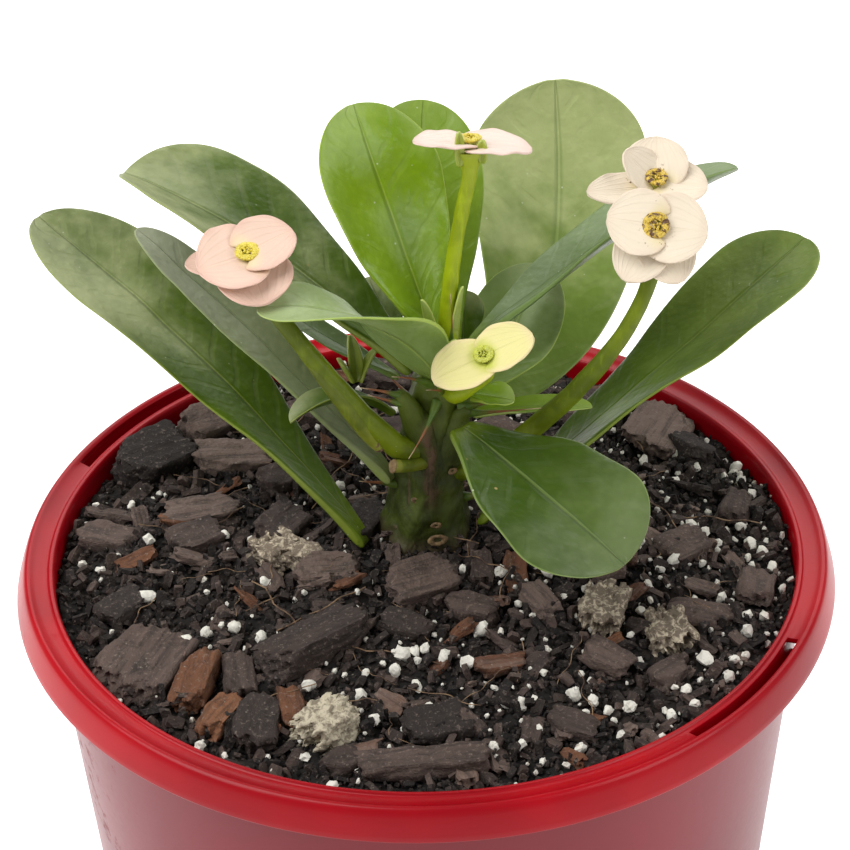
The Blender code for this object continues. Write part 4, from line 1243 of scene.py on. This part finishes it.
def growFlowers():
    green = glandFinish("cup_green", (0.42, 0.46, 0.03), (0.20, 0.26, 0.02), 0.0)
    for name, flower in flowerSetup.items():
        stained = name in stainedBracts
        finish = bractFinish("bract_" + flower["tone"] + "_" + name, flower["tone"], stained)
        yellow = {"lemon": (0.50, 0.56, 0.03), "cream": (0.72, 0.44, 0.015)}.get(flower["tone"], (0.80, 0.62, 0.02))
        dark = (0.10, 0.035, 0.008) if stained else (0.46, 0.36, 0.02)
        glands = glandFinish("glands_" + name, yellow, dark, 0.18 if stained else 0.0)
        growEye(name, flower, glands, green)
        for label, numbers in flower["bracts"].items():
            node = "bract_%s_%s" % (name, label)
            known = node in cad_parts
            growBract(node + "_petal", flower, numbers, finish, [node] if known else ())
    print("flowers:", len(flowerSetup))


growFlowers()

# trunk, flower stalks, spines and buds

trunkSetup = {  # x, y, height, radius of the rings
    "rings": ((0.2, 3.2, 121.0, 9.2), (0.3, 3.2, 125.0, 8.3), (0.4, 3.2, 128.0, 7.5), (0.7, 3.2, 132.0, 6.7),
              (1.0, 3.2, 136.0, 6.1), (1.3, 3.2, 140.0, 5.7), (1.9, 3.3, 144.0, 5.6), (2.3, 3.3, 148.0, 5.5),
              (2.7, 3.4, 152.0, 5.3), (3.1, 3.4, 156.0, 4.7), (3.5, 3.5, 159.5, 3.6), (3.7, 3.5, 161.6, 2.0)),
    "ridges": 5, "sides": 40, "spin": 6.0,
    "deep": (0.024, 0.034, 0.004), "green": (0.066, 0.092, 0.008), "cork": (0.130, 0.075, 0.045),
}


def addHorns():  # fat leaf bases that carry the two largest pairs of spines
    horns = (
        (((2.0, 0.8, 141.0), (0.0, -0.8, 148.0), (-1.8, -1.8, 154.0), (-3.6, -2.9, 158.0)), (3.6, 3.0, 2.2, 1.0)),
        (((3.6, 0.8, 143.0), (4.8, 0.0, 148.4), (6.2, -0.6, 152.0), (8.0, -1.6, 153.8)), (3.2, 2.7, 1.9, 0.9)),
        (((3.0, 5.0, 141.0), (3.4, 6.6, 147.0), (2.2, 8.2, 149.4), (1.6, 9.6, 150.6)), (3.2, 2.8, 1.9, 0.9)),
    )
    return [drawTube("horn_%d" % number, points, radii, sides=6, smooth=4)
            for number, (points, radii) in enumerate(horns)]


def raiseTrunk():
    rings, sides = trunkSetup["rings"], trunkSetup["sides"]
    x, y, z, old = rings[0]
    clearPicks()
    bpy.ops.mesh.primitive_circle_add(vertices=sides, radius=old, fill_type="NGON", location=(0, 0, 0))
    trunk = named("trunk_stem")
    step = sides // trunkSetup["ridges"]
    bpy.ops.object.mode_set(mode="EDIT")
    bpy.ops.mesh.select_mode(type="VERT")
    for offset, size in ((0, 1.12), (1, 1.05), (step - 1, 1.05), (step // 2, 0.90), (step // 2 - 1, 0.94),
                         (step // 2 + 1, 0.94)):
        pick(trunk, [n for n in range(sides) if n % step == offset])
        grow(size, size, 1)
    bpy.ops.mesh.select_all(action="SELECT")
    shift(x, y, z)
    for newX, newY, newZ, radius in rings[1:]:
        bpy.ops.mesh.extrude_region_move(TRANSFORM_OT_translate={"value": (newX - x, newY - y, newZ - z)})
        grow(radius / old, radius / old, 1, centre=(newX, newY, newZ))
        turn(trunkSetup["spin"], "Z", centre=(newX, newY, newZ))
        x, y, z, old = newX, newY, newZ, radius
    bpy.ops.mesh.select_all(action="SELECT")
    grow(mm, mm, mm)
    bpy.ops.mesh.normals_make_consistent(inside=False)
    closeEdit()
    finishWith(trunk, "SUBSURF", levels=3, render_levels=3)
    wobble(trunk, "trunk_lumps", 0.0052, 0.0016)
    wobble(trunk, "trunk_skin", 0.0014, 0.0004)
    return trunk


def stemFinish():
    finish = Finish("trunk_bark", roughness=0.55, Specular_IOR_Level=0.35)
    blotch = finish.noise(150, detail=4, warp=0.8)
    streak = finish.noise(1.0, detail=4, rough=0.6, warp=0.4, at=finish.here(520, 520, 85))
    skin = finish.noise(1400, detail=4, rough=0.7)
    height = finish.split(finish.here())[2]
    x = finish.split(finish.here())[0]
    corkLine = (1 - abs(x - 0.0012 - (blotch - 0.5) * 0.006) / 0.0016).ease(0.0, 1.0)
    corkLine = corkLine * height.ease(0.1325, 0.1385) * height.ease(0.1530, 0.1480)
    cork = (streak.ease(0.60, 0.74) * 0.55).most(corkLine * streak.ease(0.30, 0.50))
    colour = finish.mix(blotch.ease(0.35, 0.68), trunkSetup["deep"], trunkSetup["green"])
    colour = finish.mix(height.ease(0.142, 0.160) * 0.55, colour, (0.130, 0.180, 0.010))
    colour = finish.mix(cork, colour, trunkSetup["cork"])
    colour = finish.mix(height.ease(0.1300, 0.1255) * 0.8, colour, (0.075, 0.052, 0.030))
    colour = finish.mix(skin.ease(0.60, 0.80) * 0.18, colour, (0.30, 0.33, 0.16))
    finish.bump(streak * 0.9 + skin * 0.35 + cork * 0.8, 0.0005, 0.7)
    return finish.wear(colour=colour, roughness=0.42 + skin * 0.2 + cork * 0.3)


def stalkFinish(name, deep, light, tip):
    finish = Finish(name, roughness=0.42, Specular_IOR_Level=0.28)
    along = finish.mark("along")
    blotch = finish.noise(170, detail=3, warp=0.5)
    ribs = finish.noise(1.0, detail=3, at=finish.here(1300, 1300, 160))
    colour = finish.mix(blotch.ease(0.3, 0.7), deep, light)
    colour = finish.mix(ribs.ease(0.5, 0.8) * 0.35, colour, [min(1, c * 1.5) for c in light])
    colour = finish.mix(along.ease(0.62, 1.0) * 0.8, colour, tip)
    pale = finish.cells(900).ease(0.09, 0.05) * blotch.ease(0.5, 0.6)
    colour = finish.mix(pale * 0.5, colour, (0.55, 0.55, 0.36))
    finish.bump(ribs * 0.6 + blotch * 0.4, 0.0003, 0.5)
    return finish.wear(colour=colour, roughness=0.36 + ribs * 0.2)


def markAlong(piece, points):  # keeps how far along the tube each vertex is
    places = [Vector(point) * mm for point in points]
    marks = piece.data.attributes.new("along", "FLOAT", "POINT")
    values = []
    for vert in piece.data.vertices:
        near = min(range(len(places)), key=lambda k: (places[k] - vert.co).length)
        values.append(near / (len(places) - 1))
    marks.data.foreach_set("value", values)


stalkSetup = {  # start, guide, radius, flower, how wide the cup under the flower flares
    "stalk_left": ((-3.6, -3.4, 146.4), (-15.0, -6.0, 161.0), 1.75, "left", 1.25),
    "stalk_top": ((5.0, 0.6, 161.0), (3.4, 1.0, 174.0), 1.45, "top", 1.75),
    "stalk_right": ((8.9, -0.6, 140.0), (40.0, -4.0, 167.0), 1.6, "right_front", 1.3),
    "stalk_front": ((5.4, -4.6, 158.6), (7.4, -7.5, 160.5), 1.2, "front", 1.35),
    "stalk_right_fork": ((37.6, 3.4, 176.0), (39.6, 8.0, 184.0), 1.1, "right_back", 1.4),
}


def bowPoints(start, guide, end, count):
    start, guide, end = Vector(start), Vector(guide), Vector(end)
    shares = [k / (count - 1) for k in range(count)]
    return [start * (1 - t) ** 2 + guide * 2 * t * (1 - t) + end * t ** 2 for t in shares]


def growStalk(name, numbers, finish):
    start, guide, radius, flower, flare = numbers
    face = faceMatrix(flowerSetup[flower])
    end = face @ Vector((0, 0, -4.6 * mm)) / mm
    points = bowPoints(start, guide, end, 13)
    inward = Vector((3.0, 3.3, start[2] - 2)) - Vector(start)
    if name != "stalk_right_fork":  # the foot runs on into the trunk
        points.insert(0, Vector(start) + inward * 0.5)
    radii = [radius * (1.28 - 0.42 * min(1, k / 9)) for k in range(len(points))]
    for height, share in ((-3.2, 0.98), (-1.9, 0.8 + flare * 0.3), (-0.9, flare), (-0.25, flare * 1.04)):
        points.append(face @ Vector((0, 0, height * mm)) / mm)
        radii.append(radius * share)
    stalk = drawTube(name + "_stem", points, radii, sides=6, smooth=4)
    markAlong(stalk, points)
    wobble(stalk, name + "_cloud", 0.006, 0.0005)
    settle(stalk, [finish], [name], angle=80)


# foot, bend, tip, radius at the foot of each spine; the feet stand on the trunk
spineSetup = (
    ((-2.6, -2.2, 156.6), (-5.2, -3.4, 158.8), (-10.3, -5.0, 160.8), 1.1), ((-2.6, -2.6, 155.6), (-5.4, -3.6, 157.0), (-9.0, -6.0, 160.0), 1.0),
    ((1.4, -1.6, 159.0), (-1.0, -4.4, 162.2), (-4.8, -7.0, 164.2), 0.9), ((4.0, -1.8, 157.0), (3.6, -5.4, 160.4), (0.8, -8.0, 162.0), 0.8),
    ((2.6, -1.2, 155.0), (1.2, -5.4, 152.6), (-2.4, -9.0, 148.8), 0.9), ((6.6, -0.6, 153.6), (9.4, -2.4, 154.8), (15.7, -3.0, 157.2), 1.1),
    ((6.6, -1.0, 152.4), (10.4, -2.4, 153.2), (20.2, -3.0, 154.4), 1.0), ((5.0, -0.4, 166.0), (5.7, -1.8, 169.6), (5.2, -2.0, 177.0), 0.55),
    ((6.4, 6.0, 150.0), (10.6, 9.0, 151.6), (15.0, 11.6, 155.0), 1.5), ((5.6, 6.6, 149.0), (8.4, 11.0, 149.8), (10.6, 15.0, 151.4), 1.4),
    ((2.0, 7.6, 146.0), (1.6, 12.0, 147.4), (0.4, 16.6, 150.0), 1.5), ((0.4, 7.4, 147.0), (-2.6, 11.0, 148.6), (-6.4, 14.6, 151.0), 1.4),
    ((-2.6, 5.4, 142.0), (-6.2, 7.4, 143.2), (-10.6, 9.4, 146.4), 1.4), ((6.2, 4.0, 138.0), (9.8, 5.2, 139.0), (13.8, 5.4, 141.6), 1.4),
    ((5.8, 1.6, 133.0), (9.6, 0.2, 134.0), (13.0, -1.6, 136.6), 1.2), ((-4.0, 2.0, 136.0), (-7.4, 1.0, 136.8), (-11.0, -1.4, 139.0), 1.2),
    ((3.6, 8.4, 135.0), (4.4, 12.0, 136.0), (5.6, 15.4, 138.4), 1.3), ((4.6, 6.6, 157.0), (6.4, 10.0, 158.4), (7.0, 13.0, 161.4), 1.0),
)


def spineFinish():
    finish = Finish("spine", roughness=0.4, Specular_IOR_Level=0.4)
    along = finish.mark("along")
    tone = finish.noise(500, detail=3)
    colour = finish.mix(tone.ease(0.3, 0.7), (0.060, 0.120, 0.010), (0.115, 0.180, 0.018))
    colour = finish.mix((along + tone * 0.2).ease(0.42, 0.70), colour, (0.24, 0.085, 0.032))
    colour = finish.mix((along + tone * 0.1).ease(0.80, 1.04), colour, (0.50, 0.38, 0.24))
    finish.bump(tone, 0.0002, 0.5)
    return finish.wear(colour=colour, roughness=0.35 + tone * 0.2)


def growSpines():
    spines = []
    for number, (foot, bend, tip, radius) in enumerate(spineSetup):
        points = bowPoints(foot, bend, tip, 9)
        radii = [max(0.06, radius * share) for share in (1.0, 0.86, 0.66, 0.42, 0.27, 0.2, 0.14, 0.09, 0.04)]
        spine = drawTube("spine_%d" % number, points, radii, sides=4, smooth=2)
        markAlong(spine, points)
        spines.append(spine)
    settle(joinAll("spines", spines), [spineFinish()], angle=80)


def growStubs():  # a second shoot and two cut stubs beside the left stalk, with brown dry ends
    shoots = (
        (((-19.6, -3.6, 167.4), (-15.2, -5.2, 161.2), (-11.6, -5.4, 155.6), (-9.0, -4.8, 151.0), (-7.4, -4.4, 148.4)),
         (0.8, 1.3, 1.5, 1.5, 1.1)),
        (((0.8, -1.0, 143.0), (-1.6, -3.6, 143.8), (-3.4, -4.8, 144.4), (-5.0, -5.6, 145.0)), (1.5, 1.35, 1.25, 1.15)),
    )
    made = []
    for number, (points, radii) in enumerate(shoots):
        shoot = drawTube("shoot_%d" % number, points, radii, sides=6, smooth=5)
        markAlong(shoot, points)
        made.append(shoot)
    finish = stalkFinish("shoot_skin", (0.085, 0.110, 0.006), (0.170, 0.205, 0.012), (0.26, 0.28, 0.04))
    settle(joinAll("cut_shoots", made), [finish], angle=80)
    ends = []
    for place, way, size in (((-5.1, -5.7, 145.0), (-0.85, -0.4, 0.3), 1.15), ((-7.2, -4.3, 148.0), (0.3, 0.1, -0.9), 1.1),
                             ((-8.0, -5.2, 149.6), (-0.5, -0.8, 0.2), 0.8)):
        bpy.ops.mesh.primitive_ico_sphere_add(subdivisions=3, radius=size * mm)
        end = named("dry_end")
        end.scale = (1, 1, 0.45)
        end.rotation_euler = Vector(way).to_track_quat("Z", "Y").to_euler()
        end.location = Vector(place) * mm
        bpy.ops.object.transform_apply(location=True, rotation=True, scale=True)
        ends.append(end)
    for place, size in (((2.0, -3.9, 131.0), 0.8), ((2.2, -4.6, 128.4), 1.5), ((-1.2, -2.6, 135.4), 0.8),
                        ((5.0, -1.8, 141.0), 0.8)):  # leaf scars and callus on the stem
        bpy.ops.mesh.primitive_torus_add(major_radius=size * 0.62 * mm, minor_radius=size * 0.30 * mm,
                                         major_segments=20, minor_segments=8)
        scar = named("scar")
        scar.rotation_euler = Vector((place[0] - 1, place[1] - 3.2, 1.2)).to_track_quat("Z", "Y").to_euler()
        scar.scale = (1.3, 0.8, 0.7)
        scar.location = Vector(place) * mm
        bpy.ops.object.transform_apply(location=True, rotation=True, scale=True)
        ends.append(scar)
    dry = joinAll("dry_ends", ends)
    wobble(dry, "dry_cloud", 0.0012, 0.0006)
    finish = Finish("dry_cork", roughness=0.8)
    tone = finish.noise(700, detail=4, warp=0.6)
    colour = finish.mix(tone.ease(0.3, 0.7), (0.10, 0.055, 0.025), (0.30, 0.20, 0.09))
    finish.bump(tone, 0.0005, 0.8)
    settle(dry, [finish.wear(colour=colour, roughness=0.7 + tone * 0.2)], angle=70)


# small young blades: foot, heading, turn, length, width, rise, roll
budSetup = {
    "bud_left_a": ((-11.0, 7.4, 153.6), 100, 20, 8.5, 2.6, (80, 60), (0, 0)),
    "bud_left_b": ((-10.4, 7.2, 153.6), 40, -20, 7.0, 2.2, (66, 50), (10, 0)),
    "bud_left_c": ((-11.6, 7.0, 153.8), 190, 10, 6.0, 2.2, (60, 70), (0, 0)),
    "leaflet_left": ((2.4, -0.6, 163.0), 200, -20, 12.5, 2.6, (84, 78), (-60, -40)),
    "leaflet_right": ((5.9, 0.6, 162.6), 10, 10, 14.0, 2.8, (86, 82), (40, 30)),
    "leaflet_front": ((4.4, -1.4, 163.4), -60, 10, 6.0, 2.2, (70, 60), (0, 0)),
    "bud_top_left": ((7.2, 4.2, 197.6), 100, 0, 6.4, 1.7, (88, 86), (-10, 0)),
    "bud_top_right": ((10.9, 4.2, 198.2), 80, 0, 4.2, 1.9, (88, 84), (10, 0)),
}


def growBuds():
    tone = dict(leafTones["young"], deep=(0.20, 0.27, 0.02), light=(0.36, 0.42, 0.05), edge=(0.50, 0.56, 0.14))
    for name, (foot, heading, turned, length, width, rise, roll) in budSetup.items():
        shape = dict(length=length, width=width, rise=rise, roll=roll, turned=turned, cup=0.35, fold=0.2,
                     neck=0.45, belly=0.45, swell=0.9, wave=0.0, stalkWeight=0.6)
        bud = shapeBlade(name + "_blade", shape, rows=12, columns=6)
        finishWith(bud, "SOLIDIFY", thickness=0.0010, offset=0, vertex_group="thickness",
                   thickness_vertex_group=0.4, material_offset=1)
        finishWith(bud, "SUBSURF", levels=2, render_levels=2)
        bud.rotation_euler = (0, 0, math.radians(heading))
        bud.location = Vector(foot) * mm
        known = [name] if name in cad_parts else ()
        settle(bud, [leafFinish(name + "_upper", tone, shape), underFinish(name + "_under", tone, shape)],
               known, angle=80)


def growStem():
    stem = joinAll("trunk_stem", [raiseTrunk(), *addHorns()])
    settle(stem, [stemFinish()], ["trunk"], angle=80)
    green = stalkFinish("stalk_skin", (0.085, 0.118, 0.001), (0.150, 0.200, 0.003), (0.25, 0.30, 0.02))
    yellowish = stalkFinish("stalk_top_skin", (0.210, 0.270, 0.002), (0.300, 0.380, 0.004), (0.36, 0.42, 0.03))
    for name, numbers in stalkSetup.items():
        growStalk(name, numbers, yellowish if name in ("stalk_top", "stalk_front") else green)
    growSpines()
    growStubs()
    growBuds()
    print("stem: trunk, stalks, spines, stubs and buds")


growStem()

# floor, lights and camera

stageSetup = {
    "floorColour": (0.90, 0.90, 0.90),
    "skyStrength": 0.32,
    "cameraPlace": (0.0005, -0.4811, 0.4826),
    "cameraDown": 34.703,
    "cameraRoll": -1.394,
    "lens": 145.6,
}


def layFloor():
    clearPicks()
    bpy.ops.mesh.primitive_plane_add(size=8)
    floor = named("floor")
    finish = Finish("floor_paper", roughness=0.9, Emission_Color=(1, 1, 1, 1), Emission_Strength=0.60)
    speck = finish.noise(30, detail=2)
    finish.material = finish.wear(
        colour=finish.mix(speck, stageSetup["floorColour"], [c * 0.985 for c in stageSetup["floorColour"]]))
    floor.data.materials.append(finish.material)


def addSoftbox(name, place, target, size, watts):
    bpy.ops.object.light_add(type="AREA", location=place)
    lamp = bpy.context.object
    lamp.name = name
    lamp.data.shape = "RECTANGLE"
    lamp.data.size, lamp.data.size_y = size
    lamp.data.energy = watts
    aim = Vector(target) - Vector(place)
    lamp.rotation_euler = aim.to_track_quat("-Z", "Y").to_euler()


def addCamera():
    down = math.radians(stageSetup["cameraDown"])
    roll = math.radians(stageSetup["cameraRoll"])
    ahead = Vector((0, math.cos(down), -math.sin(down)))
    side = Vector((1, 0, 0))
    above = side.cross(ahead)
    right = side * math.cos(roll) + above * math.sin(roll)
    above = above * math.cos(roll) - side * math.sin(roll)
    bpy.ops.object.camera_add()
    camera = bpy.context.object
    camera.name = "camera"
    turned = Matrix((right, above, -ahead)).transposed().to_4x4()
    camera.matrix_world = Matrix.Translation(Vector(stageSetup["cameraPlace"])) @ turned
    camera.data.lens = stageSetup["lens"]
    camera.data.sensor_width = 36
    camera.data.clip_start = 0.01
    bpy.context.scene.camera = camera


clearPicks()
layFloor()
addSoftbox("key_light", (-0.55, -0.15, 0.95), (0, 0, 0.12), (0.7, 0.9), 10.2)
addSoftbox("fill_light", (0.75, -0.35, 0.7), (0, 0, 0.12), (0.6, 0.6), 4.0)
addSoftbox("back_light", (0.1, 0.9, 0.8), (0, 0, 0.14), (1.2, 0.6), 5.2)
addCamera()
world = bpy.context.scene.world or bpy.data.worlds.new("studio")
bpy.context.scene.world = world
world.use_nodes = True
world.node_tree.nodes["Background"].inputs[0].default_value = (1, 1, 1, 1)
world.node_tree.nodes["Background"].inputs[1].default_value = stageSetup["skyStrength"]
bpy.context.scene.view_settings.view_transform = "Standard"
print("stage: floor, three soft lights and the camera")
